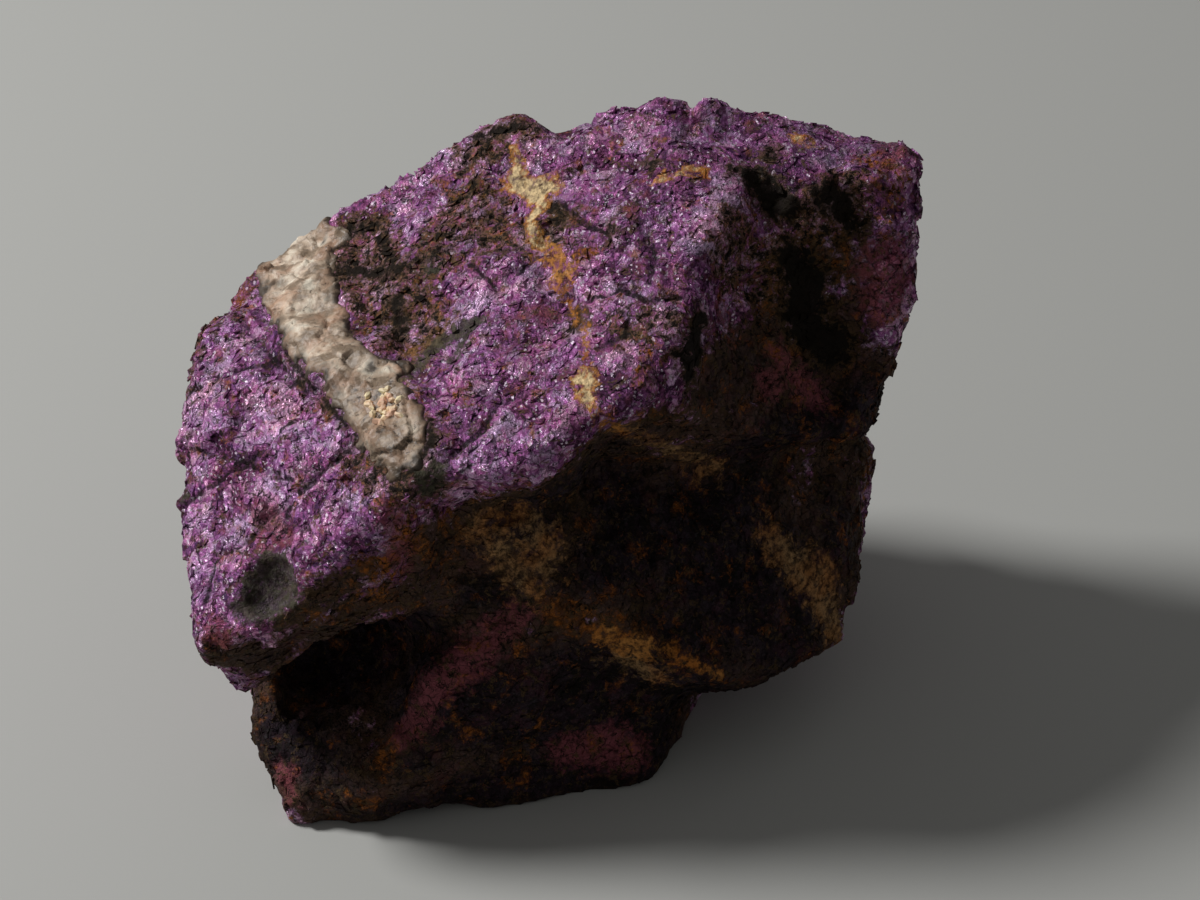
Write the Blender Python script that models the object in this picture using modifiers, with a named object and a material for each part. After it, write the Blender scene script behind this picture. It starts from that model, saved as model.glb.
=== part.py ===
"""A rough piece of purpurite, one closed stone.

Metres, +Z up. The long side runs along X and the broken front looks towards -Y.
The stone is built from a few angular lumps, which are joined, hollowed, skinned
and chipped, and then cut flat where it rests.
"""

import bmesh
import bpy
from mathutils import Vector
from mathutils import noise

MM = 0.001

# Driving dimensions
LENGTH = 47.9 * MM
SKIN_VOXEL = 0.62 * MM
TRIANGLES = 9300
SLOPE_FACET = 6.5 * MM
CHIP_FACET = 3.4 * MM
SWELL = 11.0 * MM

# Names
STONE = "purpurite_stone"
GROUP = "purpurite"
HELPERS = "purpurite_lumps"

# Corners of the lumps, in millimetres: x to the right, y to the back, z up
CROWN = (
    (-16.5, 14.5, 26.6), (-11.0, 16.0, 29.0), (-7.3, 17.0, 32.3), (-3.4, 17.5, 34.0),
    (6.9, 14.8, 36.4), (12.9, 15.7, 35.7), (20.2, 16.2, 33.2), (23.7, 13.7, 34.2),
    (23.9, 11.7, 34.5), (21.2, 10.0, 33.6), (12.0, 6.5, 35.4), (9.4, 1.5, 34.6),
    (7.5, -4.0, 32.0), (5.7, -8.0, 29.8), (3.2, -9.0, 29.2), (-11.3, -5.2, 24.8),
    (-15.4, 3.1, 23.8), (5.9, -7.8, 28.4), (11.4, -4.2, 24.6), (16.0, -1.2, 22.0),
    (20.9, 2.8, 19.0), (22.9, 7.5, 27.3), (2.0, -2.0, 20.0), (20.6, 13.0, 14.0),
    (2.0, 19.5, 20.0), (-9.0, 18.0, 18.0), (-9.0, -3.0, 19.0),
)
TONGUE = (
    (-7.3, -10.8, 26.4), (-6.0, -11.6, 26.1), (-1.7, -12.2, 27.0), (0.4, -11.0, 28.4),
    (3.6, -8.8, 29.3), (-10.5, -6.0, 25.0), (-3.0, 2.0, 30.2), (5.0, 0.0, 32.0),
    (-6.0, -8.0, 21.5), (-1.0, -8.6, 22.6), (2.0, -5.0, 21.0), (-4.0, 2.0, 20.0),
)
SHOULDER = (
    (-21.7, -14.0, 14.6), (-22.8, -10.0, 15.8), (-23.9, -3.0, 19.7), (-24.0, 1.0, 21.5),
    (-23.6, 4.5, 22.9), (-21.8, 8.5, 24.2), (-19.9, 12.5, 26.3), (-16.5, 14.5, 26.8),
    (-18.9, -14.6, 16.2), (-15.5, -14.0, 17.7), (-12.4, -13.0, 20.9), (-10.1, -12.0, 24.3),
    (-7.3, -11.0, 26.2), (-20.8, -12.0, 11.2), (-19.9, -10.0, 7.8), (-12.8, -12.0, 16.2), (-7.2, -10.6, 15.6),
    (-20.5, 5.0, 12.0), (-15.0, 14.0, 13.0), (-6.0, 10.0, 23.0), (-6.0, -5.0, 21.0),
    (-16.5, 0.0, 9.0),
)
BELLY = (
    (-6.2, -8.0, 21.9), (-1.8, -7.0, 21.2), (3.2, -4.2, 18.8), (8.3, -1.8, 16.5),
    (13.6, 0.2, 14.2), (20.1, 3.8, 10.2), (-0.3, -9.5, 15.4), (5.7, -10.2, 12.4),
    (10.9, -9.7, 8.6), (16.2, -5.2, 7.2), (19.2, -1.5, 5.3), (20.5, 5.0, 10.6),
    (21.3, 7.0, 15.0), (21.0, 14.0, 9.0), (15.0, 18.0, 14.0), (0.0, 20.0, 13.0),
    (-12.0, 17.0, 12.0), (-16.5, 6.0, 11.0), (-12.0, -5.0, 13.0), (-8.0, -9.5, 15.0),
    (15.0, 3.0, 2.5), (9.0, -5.0, 3.0), (14.0, 13.0, 2.0), (-8.0, 14.0, 2.0),
    (-11.0, 0.0, 3.0), (-6.0, -6.0, 4.0), (0.0, 6.0, 26.0),
)
PLINTH = (
    (7.1, -9.1, -0.9), (6.9, -8.4, 5.9), (1.6, -10.5, -0.9), (0.6, -11.2, 5.9),
    (0.7, -9.7, 13.2), (-1.8, -9.4, 14.4), (-3.1, -11.7, 11.2), (-7.5, -11.8, 11.6),
    (-9.6, -13.5, 4.4), (-11.8, -13.7, 4.8), (-8.6, -12.7, 0.4), (7.2, -4.0, -0.9),
    (2.0, -3.5, -0.9), (12.0, 1.5, 1.6), (-7.0, 11.0, 1.4), (-8.0, -6.0, 10.0),
    (6.0, -4.0, 12.0), (8.0, 6.0, 10.0), (-8.0, 6.0, 10.0),
)
FOOT = (
    (-19.6, -7.5, 7.0), (-19.6, -9.5, 3.9), (-17.0, -13.0, 1.3), (-16.1, -13.6, -0.9),
    (-12.6, -13.6, -0.9), (-11.8, -13.7, 4.8), (-12.0, -8.5, -0.9), (-15.6, -8.0, -0.9),
    (-9.0, -12.6, 0.4), (-17.8, 1.0, 2.0), (-11.0, 7.0, 1.6), (-19.0, 1.0, 9.0),
    (-14.0, -5.5, 8.6), (-9.0, -5.0, 10.0), (-15.5, -11.0, 5.0),
)
SCOOP = (
    (8.6, -0.5, 38.5), (11.4, 5.6, 38.5), (15.8, 8.2, 38.5), (21.3, 9.6, 38.5),
    (9.3, -2.0, 31.0), (11.6, 3.6, 29.6), (16.0, 6.2, 27.6), (20.6, 7.4, 27.0),
    (8.0, -6.0, 29.5), (9.5, -5.0, 25.2), (13.5, -1.0, 23.0), (18.5, 2.6, 20.4),
    (22.0, 4.0, 26.0), (23.0, 2.0, 38.5), (20.0, -14.0, 38.5), (8.0, -16.0, 38.5),
    (18.0, -12.0, 20.0), (9.0, -16.0, 25.0),
)
HEEL = (
    (-3.5, 10.5, -0.9), (9.5, 9.5, -0.9), (9.0, 5.0, -0.9), (-2.0, 6.0, -0.9),
    (-8.0, 15.0, 6.0), (12.0, 14.5, 6.5), (3.0, 18.5, 9.0), (-6.0, 2.0, 7.0),
    (12.0, 2.0, 7.0),
)
FLANK = (
    (-21.4, 4.0, 14.0), (-19.8, -2.0, 9.5), (-17.5, 13.5, 16.0), (-17.5, 9.0, 4.0),
    (-16.5, 0.0, 2.4), (-11.0, 15.5, 5.5), (-8.0, 0.0, 3.0), (-8.0, 8.0, 18.0),
    (-12.0, 17.0, 15.0), (-21.0, 8.0, 18.0),
    (-15.4, 15.2, 23.5), (-9.0, 17.6, 24.0),
)
WAIST = (
    (20.6, 6.2, 19.6), (21.4, 11.0, 19.0), (19.6, 16.2, 20.0), (20.6, 7.0, 12.4),
    (20.6, 14.0, 10.5), (2.0, 20.2, 24.0), (2.0, 20.6, 12.0), (5.0, 0.0, 22.0),
    (13.0, 1.4, 17.5), (-10.0, 18.4, 20.0), (-12.0, 17.0, 14.0),
)
QUARTZ = (
    (-19.0, 10.6, 26.2), (-16.8, 3.5, 26.5), (-14.2, -2.6, 26.4), (-11.4, -7.7, 26.3),
    (-9.8, -9.6, 26.4), (-14.0, 13.4, 27.6), (-13.4, 9.0, 27.0), (-11.2, 1.3, 27.1),
    (-7.4, -7.8, 27.8), (-18.0, 9.0, 22.0), (-12.0, -5.0, 22.0), (-8.5, -8.0, 23.0),
    (-12.0, 11.0, 22.0),
)
RECESS = (
    (-19.0, -20.0, 12.0), (-10.0, -20.0, 17.5), (-8.5, -20.0, 8.0), (-18.5, -20.0, 4.4),
    (-17.2, -4.5, 9.6), (-11.5, -4.0, 12.4), (-10.2, -6.5, 8.0), (-16.5, -5.0, 4.8),
)
SADDLE = (
    (-2.2, 14.0, 38.0), (1.3, 12.0, 38.0), (4.4, 14.0, 38.0), (1.3, 24.0, 38.0),
    (-1.8, 18.5, 33.0), (1.2, 14.0, 33.6), (4.0, 18.5, 34.2), (1.2, 20.0, 32.0),
)
SOCKET = (
    (-19.7, -13.3, 19.0), (-18.8, -12.3, 20.0), (-17.5, -12.0, 21.0), (-15.9, -12.5, 21.8),
    (-16.1, -13.7, 20.3), (-17.0, -14.5, 18.8), (-18.3, -14.7, 18.4), (-18.3, -12.0, 16.9),
    (-17.5, -11.1, 17.8), (-16.4, -11.1, 18.8), (-15.3, -12.3, 19.6), (-15.5, -13.0, 18.9),
    (-16.4, -13.6, 17.4), (-17.3, -13.6, 16.9),
)
CRACK_BACK = (
    (-18.7, 8.5, 26.4), (-19.8, 8.0, 26.4), (-18.3, 8.7, 24.5),
    (-15.8, 0.8, 26.6), (-17.0, 0.4, 26.4), (-15.4, 1.0, 24.6),
)
CRACK_FRONT = (
    (-15.8, 0.9, 26.6), (-17.0, 0.5, 26.4), (-15.4, 1.1, 24.6),
    (-11.2, -8.4, 26.4), (-12.4, -8.8, 26.2), (-10.8, -8.1, 24.4),
)
PIT_LEFT = (
    (12.2, 8.6, 36.5), (13.6, 9.2, 36.5), (15.2, 8.2, 36.0), (12.8, 7.4, 33.4),
    (13.8, 8.0, 33.0), (14.8, 7.2, 32.4), (11.8, 3.0, 36.5), (15.8, 3.5, 36.0),
    (12.5, 3.0, 32.5), (15.2, 3.5, 31.5),
)
PIT_RIGHT = (
    (17.6, 9.0, 34.9), (19.6, 9.4, 34.9), (18.0, 8.4, 31.6), (19.7, 8.6, 31.2),
    (17.2, 4.0, 35.5), (20.6, 4.5, 35.5), (17.6, 4.0, 31.2), (20.2, 4.5, 31.0),
)
LUMPS = {
    "crown": CROWN,
    "tongue": TONGUE,
    "shoulder": SHOULDER,
    "belly": BELLY,
    "plinth": PLINTH,
    "foot": FOOT,
    "heel": HEEL,
    "flank": FLANK,
    "waist": WAIST,
    "quartz": QUARTZ,
}
HOLLOWS = {
    "scoop": SCOOP,
    "recess": RECESS,
    "saddle": SADDLE,
    "socket": SOCKET,
    "crack_back": CRACK_BACK,
    "crack_front": CRACK_FRONT,
    "pit_left": PIT_LEFT,
    "pit_right": PIT_RIGHT,
}


def clear_scene():
    """Empty the startup scene."""
    for obj in list(bpy.data.objects):
        bpy.data.objects.remove(obj, do_unlink=True)


def collection(name):
    """A collection linked to the scene."""
    made = bpy.data.collections.new(name)
    bpy.context.scene.collection.children.link(made)
    return made


def lump(name, corners, home):
    """A convex lump of rock through its corners, in millimetres."""
    mesh = bpy.data.meshes.new(name)
    bm = bmesh.new()
    for corner in corners:
        bm.verts.new(Vector(corner) * MM)
    made = bmesh.ops.convex_hull(bm, input=list(bm.verts))
    spare = set(made["geom_interior"]) | set(made["geom_unused"])
    loose = [item for item in spare if isinstance(item, bmesh.types.BMVert)]
    bmesh.ops.delete(bm, geom=loose, context="VERTS")
    bmesh.ops.recalc_face_normals(bm, faces=list(bm.faces))
    bm.to_mesh(mesh)
    bm.free()
    obj = bpy.data.objects.new(name, mesh)
    obj.hide_render = True
    obj.display_type = "WIRE"
    home.objects.link(obj)
    return obj


def boolean(obj, other, operation):
    """Join or cut with another closed mesh."""
    modifier = obj.modifiers.new(other.name, "BOOLEAN")
    modifier.operation = operation
    modifier.solver = "EXACT"
    modifier.object = other


def baked(obj, name):
    """The mesh of an object with its modifiers applied."""
    bpy.context.view_layer.update()
    graph = bpy.context.evaluated_depsgraph_get()
    mesh = bpy.data.meshes.new_from_object(obj.evaluated_get(graph))
    mesh.name = name
    return mesh


def tilted_facets(point, size, seed):
    """Height of flat facets that each lean their own way, with a narrow slope between."""
    where = point / size + Vector((seed, seed * 0.37, -seed * 0.61))
    distances, centres = noise.voronoi(where)
    planes = []
    for centre in centres[:2]:
        lean = noise.cell_vector(centre * 7.31) * 2.0 - Vector((1.0, 1.0, 1.0))
        planes.append(lean.dot(where - centre) + 0.35 * lean.z)
    edge = min((distances[1] - distances[0]) / 0.16, 1.0)
    other = 0.5 * (1.0 - edge * edge * (3.0 - 2.0 * edge))
    return planes[0] * (1.0 - other) + planes[1] * other


def relief(point):
    """How far the broken surface stands out at a point, in metres."""
    swell = noise.fractal(point / SWELL, 1.0, 2.0, 3)
    slopes = tilted_facets(point, SLOPE_FACET, 3.0)
    chips = tilted_facets(point, CHIP_FACET, 11.0)
    rough = noise.fractal(point / (2.6 * MM), 1.0, 2.1, 2)
    return (0.55 * swell + 0.50 * slopes + 0.26 * chips + 0.16 * rough) * MM


def roughen(mesh):
    """Push the skin in and out along its own normals."""
    bm = bmesh.new()
    bm.from_mesh(mesh)
    for _ in range(2):
        bmesh.ops.smooth_vert(
            bm, verts=list(bm.verts), factor=0.5, use_axis_x=True, use_axis_y=True, use_axis_z=True
        )
    bm.normal_update()
    moved = [vert.co + vert.normal * relief(vert.co) for vert in bm.verts]
    for vert, place in zip(bm.verts, moved):
        vert.co = place
    bm.to_mesh(mesh)
    bm.free()


def floor_cutter(home):
    """A block below the floor, which leaves the stone a flat spot to rest on."""
    mesh = bpy.data.meshes.new("floor_cutter")
    bm = bmesh.new()
    bmesh.ops.create_cube(bm, size=80.0 * MM)
    bmesh.ops.translate(bm, verts=list(bm.verts), vec=(0.0, 0.0, -40.0 * MM))
    bm.to_mesh(mesh)
    bm.free()
    obj = bpy.data.objects.new("floor_cutter", mesh)
    obj.hide_render = True
    obj.display_type = "WIRE"
    home.objects.link(obj)
    return obj


def settle(mesh):
    """Scale to the length and put the bottom centre of the box on the origin."""
    count = range(3)
    points = [vert.co for vert in mesh.vertices]
    low = [min(point[axis] for point in points) for axis in count]
    high = [max(point[axis] for point in points) for axis in count]
    grow = LENGTH / (high[0] - low[0])
    middle = Vector(((low[0] + high[0]) / 2.0, (low[1] + high[1]) / 2.0, low[2]))
    for vert in mesh.vertices:
        vert.co = (vert.co - middle) * grow


def stone_material():
    """Purple phosphate rock, satin where it breaks."""
    material = bpy.data.materials.new("purpurite_rock")
    material.use_nodes = True
    shader = material.node_tree.nodes["Principled BSDF"]
    shader.inputs["Base Color"].default_value = (0.155, 0.068, 0.115, 1.0)
    shader.inputs["Roughness"].default_value = 0.5
    shader.inputs["Metallic"].default_value = 0.1
    return material


def main():
    """Build the stone."""
    clear_scene()
    group = collection(GROUP)
    helpers = collection(HELPERS)
    lumps = [lump(name, corners, helpers) for name, corners in LUMPS.items()]
    joined = bpy.data.objects.new("joined", lumps[0].data.copy())
    helpers.objects.link(joined)
    for other in lumps[1:]:
        boolean(joined, other, "UNION")
    for name, corners in HOLLOWS.items():
        boolean(joined, lump(name, corners, helpers), "DIFFERENCE")
    skin = joined.modifiers.new("skin", "REMESH")
    skin.mode = "VOXEL"
    skin.voxel_size = SKIN_VOXEL
    mesh = baked(joined, STONE)
    bpy.data.objects.remove(joined, do_unlink=True)
    roughen(mesh)

    stone = bpy.data.objects.new(STONE, mesh)
    group.objects.link(stone)
    thin = stone.modifiers.new("thin", "DECIMATE")
    mesh.calc_loop_triangles()
    thin.ratio = TRIANGLES / len(mesh.loop_triangles)
    boolean(stone, floor_cutter(helpers), "DIFFERENCE")
    final = baked(stone, STONE + "_mesh")
    stone.modifiers.clear()
    stone.data = final
    settle(final)
    final.materials.clear()
    final.materials.append(stone_material())


if __name__ == "__main__":
    main()
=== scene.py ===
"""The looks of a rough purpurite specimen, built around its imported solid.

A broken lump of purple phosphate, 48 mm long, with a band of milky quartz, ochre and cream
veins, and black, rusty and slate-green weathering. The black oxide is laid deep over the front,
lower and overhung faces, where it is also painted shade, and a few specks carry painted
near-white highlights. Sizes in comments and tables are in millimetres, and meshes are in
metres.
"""

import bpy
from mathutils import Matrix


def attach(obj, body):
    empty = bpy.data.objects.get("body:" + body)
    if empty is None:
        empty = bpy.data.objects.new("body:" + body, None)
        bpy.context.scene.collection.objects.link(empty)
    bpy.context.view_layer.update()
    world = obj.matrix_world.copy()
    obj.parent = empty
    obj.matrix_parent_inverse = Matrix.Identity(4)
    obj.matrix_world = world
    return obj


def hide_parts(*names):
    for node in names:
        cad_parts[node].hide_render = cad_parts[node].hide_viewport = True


bl_info = {
    "name": "Rough Purpurite Specimen",
    "version": (1, 0, 0),
    "blender": (4, 5, 0),
    "location": "3D View > Sidebar > Purpurite",
    "description": "Dresses the solid of a rough purpurite specimen with skin, quartz and grains",
    "category": "Object",
}

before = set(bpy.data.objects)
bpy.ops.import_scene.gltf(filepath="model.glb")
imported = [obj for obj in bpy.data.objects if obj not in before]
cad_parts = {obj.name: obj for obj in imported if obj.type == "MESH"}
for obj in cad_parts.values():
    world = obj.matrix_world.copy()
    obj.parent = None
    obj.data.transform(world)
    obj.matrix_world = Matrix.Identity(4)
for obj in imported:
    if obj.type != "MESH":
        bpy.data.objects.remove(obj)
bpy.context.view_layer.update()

import math
from collections import namedtuple

import bmesh
import bpy
import numpy as np
from bpy.props import FloatProperty, FloatVectorProperty, IntProperty, PointerProperty
from mathutils import Vector, noise

MM = 0.001
NODE = "purpurite_stone"
BODY = "root"

# Where each mineral lies
# Each chain is a run of balls (x, y, z, radius) in millimetres, joined into a tapered tube.
# A mineral colours or fills the surface where a tube meets it.

QUARTZ_BAND = [
    ((-16.6, 11.4, 26.6, 2.5), (-16.5, 7.6, 26.8, 2.8), (-16.0, 3.6, 26.9, 2.4), (-15.0, 0.4, 26.9, 2.2),
     (-13.6, -2.6, 27.1, 2.1), (-12.3, -5.0, 27.0, 2.0), (-11.1, -7.5, 27.1, 2.2), (-9.9, -9.8, 27.2, 2.4),
     (-9.2, -11.5, 27.0, 2.2), (-9.0, -12.7, 26.7, 1.5)),
    ((-18.0, 8.8, 26.3, 1.7), (-16.4, 9.2, 26.8, 1.7), (-14.4, 10.2, 27.4, 1.3)),
    ((-10.2, -5.4, 27.6, 1.5), (-9.3, -4.9, 27.6, 0.8)),
]
MARKS = {
    "cream": [
        ((-2.3, 11.0, 33.9, 0.3), (-2.1, 10.4, 33.1, 0.3), (-2.3, 9.2, 32.5, 0.6), (-1.0, 7.9, 32.8, 0.8),
         (0.2, 7.4, 33.4, 0.5)),
        ((-1.0, 7.7, 32.7, 0.7), (-0.7, 6.2, 32.8, 0.5), (-1.1, 5.2, 32.4, 0.4), (-1.0, 3.8, 32.2, 0.3),
         (-0.5, 2.6, 32.1, 0.4)),
        ((1.9, -9.4, 29.9, 0.5), (2.5, -8.9, 30.1, 0.5), (2.4, -10.4, 29.9, 0.4), (2.6, -11.4, 29.6, 0.4)),
        ((15.9, 9.6, 35.6, 0.2), (16.6, 9.2, 35.5, 0.2)),
        ((6.7, 4.6, 35.4, 0.15), (8.3, 4.9, 35.8, 0.2), (9.6, 6.0, 35.9, 0.25)),
    ],
    "ochre": [
        ((-0.5, 2.3, 31.9, 0.5), (0.2, 1.2, 32.0, 0.7), (0.9, -0.1, 31.7, 0.9), (0.8, -1.3, 31.4, 0.7),
         (0.9, -2.3, 31.2, 0.4)),
        ((0.9, -2.3, 31.2, 0.15), (1.5, -3.3, 31.1, 0.15), (2.2, -4.9, 30.9, 0.25),
         (2.4, -6.6, 30.6, 0.25), (2.2, -7.6, 30.4, 0.15)),
        ((2.6, -11.7, 29.6, 0.4), (3.4, -12.0, 28.6, 0.4), (4.6, -9.9, 26.3, 0.3)),
        ((9.6, 6.0, 35.9, 0.4), (9.9, 5.5, 35.7, 0.4)),
        ((3.4, -13.3, 13.0, 0.6), (4.8, -13.0, 12.1, 1.0), (5.8, -12.9, 11.4, 1.0)),
        ((5.6, -13.1, 12.5, 0.3), (7.0, -13.1, 11.8, 0.4), (8.3, -12.9, 11.1, 0.3),
         (10.8, -12.6, 9.2, 0.25)),
    ],
    "rust": [
        ((-6.2, 9.3, 31.3, 0.7), (-4.7, 9.4, 32.1, 0.8), (-3.2, 8.3, 31.9, 0.6), (-2.7, 7.4, 31.8, 0.5)),
        ((-3.3, 4.2, 31.5, 0.4), (-2.4, 4.8, 31.8, 0.6), (-1.2, 4.8, 32.3, 0.4), (-0.1, 3.5, 32.5, 0.4),
         (0.8, 4.1, 33.3, 0.3)),
        ((-10.4, -3.5, 27.7, 0.5), (-10.2, -2.2, 27.8, 0.5), (-9.1, -2.7, 27.4, 0.6)),
        ((-9.5, 2.8, 28.9, 0.3), (-8.4, 1.2, 28.8, 0.4), (-7.9, 0.1, 28.5, 0.4)),
        ((-20.0, 8.0, 25.7, 0.9), (-20.3, 4.6, 25.2, 0.5)),
        ((-14.4, -5.8, 25.8, 0.5), (-13.7, -7.4, 25.8, 0.5)),
        ((-12.5, -11.1, 24.9, 0.5), (-11.2, -11.3, 25.6, 0.5), (-10.8, -12.4, 25.5, 0.4)),
        ((2.6, 0.5, 33.0, 0.5), (1.7, 0.4, 32.4, 0.5)),
        ((5.7, -5.0, 32.9, 0.3), (6.9, -4.6, 33.3, 0.4), (8.1, -4.9, 33.1, 0.4)),
        ((4.2, -4.2, 32.3, 0.4), (3.5, -4.2, 31.9, 0.3)),
        ((-5.3, -8.5, 28.4, 0.5), (-4.8, -9.5, 28.1, 0.5)),
        ((12.5, 3.1, 34.7, 0.5), (13.1, 3.7, 33.6, 0.3)),
        ((19.2, 4.3, 31.1, 0.45), (19.0, 4.0, 30.4, 0.2)),
        ((13.7, -0.7, 26.6, 0.5), (15.0, 0.0, 25.6, 0.2), (17.0, 1.1, 24.9, 0.5)),
        ((-11.5, -15.4, 17.5, 0.5), (-11.0, -15.4, 18.3, 0.6), (-10.5, -15.4, 19.1, 0.5)),
        ((20.9, 5.1, 14.5, 0.4), (20.8, 3.7, 11.8, 0.4), (20.7, 2.3, 9.5, 0.4)),
        ((-11.0, -17.1, 5.5, 0.5), (-10.4, -16.6, 6.4, 0.5)),
        ((-1.2, -12.6, 16.1, 0.5), (1.0, -13.1, 14.7, 0.9), (3.2, -13.3, 13.5, 1.1),
         (5.8, -13.1, 12.4, 1.0), (7.0, -13.1, 11.8, 0.7), (8.3, -12.9, 11.1, 0.6),
         (10.8, -12.6, 9.2, 0.5)),
        ((17.6, -5.2, 8.6, 0.6), (18.7, -5.0, 6.4, 0.6)),
        ((14.2, -5.1, 13.1, 0.5), (15.6, -5.3, 11.0, 0.5)),
        ((-9.1, -1.8, 27.5, 0.5), (-9.8, -0.9, 27.7, 0.6), (-9.8, 0.7, 28.0, 0.5)),
        ((-8.8, 2.6, 29.1, 0.5), (-7.5, 2.0, 29.3, 0.5), (-7.9, -0.6, 28.4, 0.5)),
        ((-14.1, 5.6, 27.6, 0.5), (-12.4, 4.6, 27.7, 0.5), (-11.0, 4.7, 28.2, 0.6)),
        ((5.7, -10.1, 30.4, 0.5), (6.3, -7.5, 31.6, 0.5)),
        ((19.9, 8.1, 34.9, 0.6), (22.4, 7.3, 34.6, 0.7), (21.8, 5.3, 32.9, 0.7)),
        ((-3.0, -11.2, 20.5, 0.6), (-1.8, -10.8, 20.6, 0.6)),
        ((-9.0, -15.3, 23.6, 0.5), (-8.1, -14.7, 21.6, 0.7), (-7.3, -13.4, 19.1, 0.5)),
        ((-11.5, -15.5, 20.7, 0.6), (-10.0, -15.3, 19.4, 0.7), (-10.4, -14.8, 17.0, 0.5)),
        ((-6.7, -12.4, 21.5, 0.5), (-4.9, -11.7, 19.3, 0.5)),
        ((-11.4, 2.8, 27.7, 0.6), (-12.8, 2.9, 27.6, 0.5)),
        ((-11.7, -0.1, 27.3, 0.5), (-10.6, -2.6, 27.9, 0.6)),
        ((-4.4, -13.6, 17.6, 0.5), (-2.6, -12.8, 16.6, 0.6)),
    ],
    "rosy": [
        ((-18.6, -10.6, 20.7, 0.7), (-17.3, -11.7, 20.9, 1.1), (-16.5, -13.2, 20.6, 0.8),
         (-17.7, -13.1, 20.0, 0.5)),
        ((-20.6, -16.6, 15.8, 0.9), (-19.3, -17.0, 16.2, 0.6)),
        ((-0.5, -3.4, 30.5, 0.8), (-1.5, -3.0, 30.8, 0.6)),
        ((21.5, 4.0, 30.3, 1.6), (21.7, 3.5, 29.1, 2.1), (21.5, 2.9, 27.6, 1.6)),
        ((22.9, 9.4, 34.9, 1.0), (21.5, 8.2, 34.8, 0.8)),
        ((14.0, -2.3, 24.6, 1.0), (13.0, -2.6, 23.6, 0.8)),
        ((10.8, -1.4, 29.7, 1.0), (11.5, -2.0, 28.6, 0.7)),
        ((-9.5, -15.2, 24.3, 0.9), (-9.2, -15.5, 23.0, 1.1), (-9.1, -15.2, 21.2, 1.1),
         (-8.9, -14.4, 19.1, 0.7)),
        ((14.4, -0.6, 26.1, 0.7), (16.2, -1.0, 23.4, 0.9), (17.4, -0.6, 22.2, 0.7)),
        ((-1.8, -13.1, 14.5, 0.7), (-4.3, -14.0, 12.4, 1.3), (-6.8, -15.3, 10.6, 1.3),
         (-9.1, -16.2, 7.3, 0.8)),
        ((1.3, -13.6, 3.8, 1.3), (3.9, -12.8, 3.2, 1.7), (5.5, -12.6, 2.5, 1.1)),
        ((-17.0, -15.2, 3.1, 0.8), (-16.5, -15.7, 2.2, 0.7)),
    ],
    "black": [
        ((-13.6, 9.9, 27.8, 0.4), (-13.0, 10.2, 28.3, 0.5), (-11.7, 9.8, 28.9, 0.4)),
        ((-14.9, 7.8, 27.5, 0.3), (-13.7, 6.9, 27.6, 0.5), (-12.0, 5.7, 27.9, 0.6),
         (-10.1, 4.0, 28.8, 0.5)),
        ((-10.9, 7.9, 29.0, 0.3), (-10.3, 6.1, 28.8, 0.3), (-9.9, 3.9, 29.1, 0.4)),
        ((-5.0, 13.4, 33.4, 0.4), (-3.3, 13.1, 34.1, 0.5), (-1.8, 12.7, 34.6, 0.4)),
        ((-9.9, 1.7, 28.4, 0.4), (-9.4, 0.1, 27.9, 0.5), (-9.6, -1.5, 27.6, 0.4)),
        ((11.8, 5.5, 35.7, 0.5), (12.9, 5.5, 35.3, 0.9), (14.1, 5.2, 34.1, 1.0), (15.3, 4.1, 33.5, 0.8)),
        ((17.5, 4.8, 34.4, 0.8), (18.7, 5.4, 33.2, 1.0), (19.5, 5.0, 32.0, 0.9)),
        ((15.3, 3.2, 30.9, 1.0), (16.4, 3.2, 28.5, 1.5), (16.1, 1.9, 26.7, 1.5), (18.0, 1.8, 24.8, 1.5)),
        ((9.4, -5.7, 31.1, 1.1), (8.8, -7.3, 30.0, 1.1)),
        ((-0.1, 5.6, 33.1, 0.3), (0.7, 4.4, 33.3, 0.3), (0.4, 2.9, 32.6, 0.25)),
        ((3.9, 1.3, 34.0, 0.4), (4.0, 2.0, 34.1, 0.3)),
        ((6.3, 7.1, 35.5, 0.3), (6.7, 6.3, 35.6, 0.3)),
        ((-7.1, -13.3, 27.1, 0.35), (-8.0, -13.8, 26.6, 0.35), (-9.3, -13.4, 26.3, 0.35)),
        ((14.0, 7.2, 35.6, 0.4), (14.3, 8.2, 35.6, 0.3)),
        ((1.7, -3.6, 31.2, 0.3), (2.1, -4.6, 31.0, 0.4), (1.5, -4.9, 30.6, 0.3)),
        # a dark line along the quartz band's left edge, over its crack groove
        ((-16.8, -0.4, 26.1, 0.15), (-15.7, -3.3, 26.2, 0.2), (-14.6, -5.4, 26.3, 0.15),
         (-12.9, -8.1, 26.1, 0.0), (-11.2, -11.2, 26.4, 0.15), (-10.2, -12.7, 26.0, 0.25)),
        ((-7.3, -11.1, 27.9, 0.3), (-7.2, -12.3, 27.4, 0.4), (-7.5, -13.4, 26.9, 0.4),
         (-8.4, -14.2, 26.2, 0.3)),
    ],
    "slate": [
        ((-17.9, -14.7, 18.3, 1.0), (-16.9, -14.8, 18.8, 1.6), (-16.2, -15.6, 18.3, 1.2),
         (-17.3, -15.6, 17.7, 1.5), (-18.4, -15.7, 17.2, 1.3)),
        ((-9.0, -6.2, 27.7, 0.4), (-8.3, -4.4, 27.4, 0.6), (-7.3, -3.1, 27.9, 0.7),
         (-6.2, -2.7, 28.6, 0.8), (-5.1, -2.8, 29.3, 0.8), (-4.4, -2.7, 29.7, 0.5)),
        ((-23.3, -6.6, 19.6, 0.4), (-23.1, -7.3, 19.2, 0.4)),
        ((-18.8, 6.1, 26.0, 0.3), (-17.9, 6.6, 26.4, 0.35), (-17.3, 6.1, 26.5, 0.3)),
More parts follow.
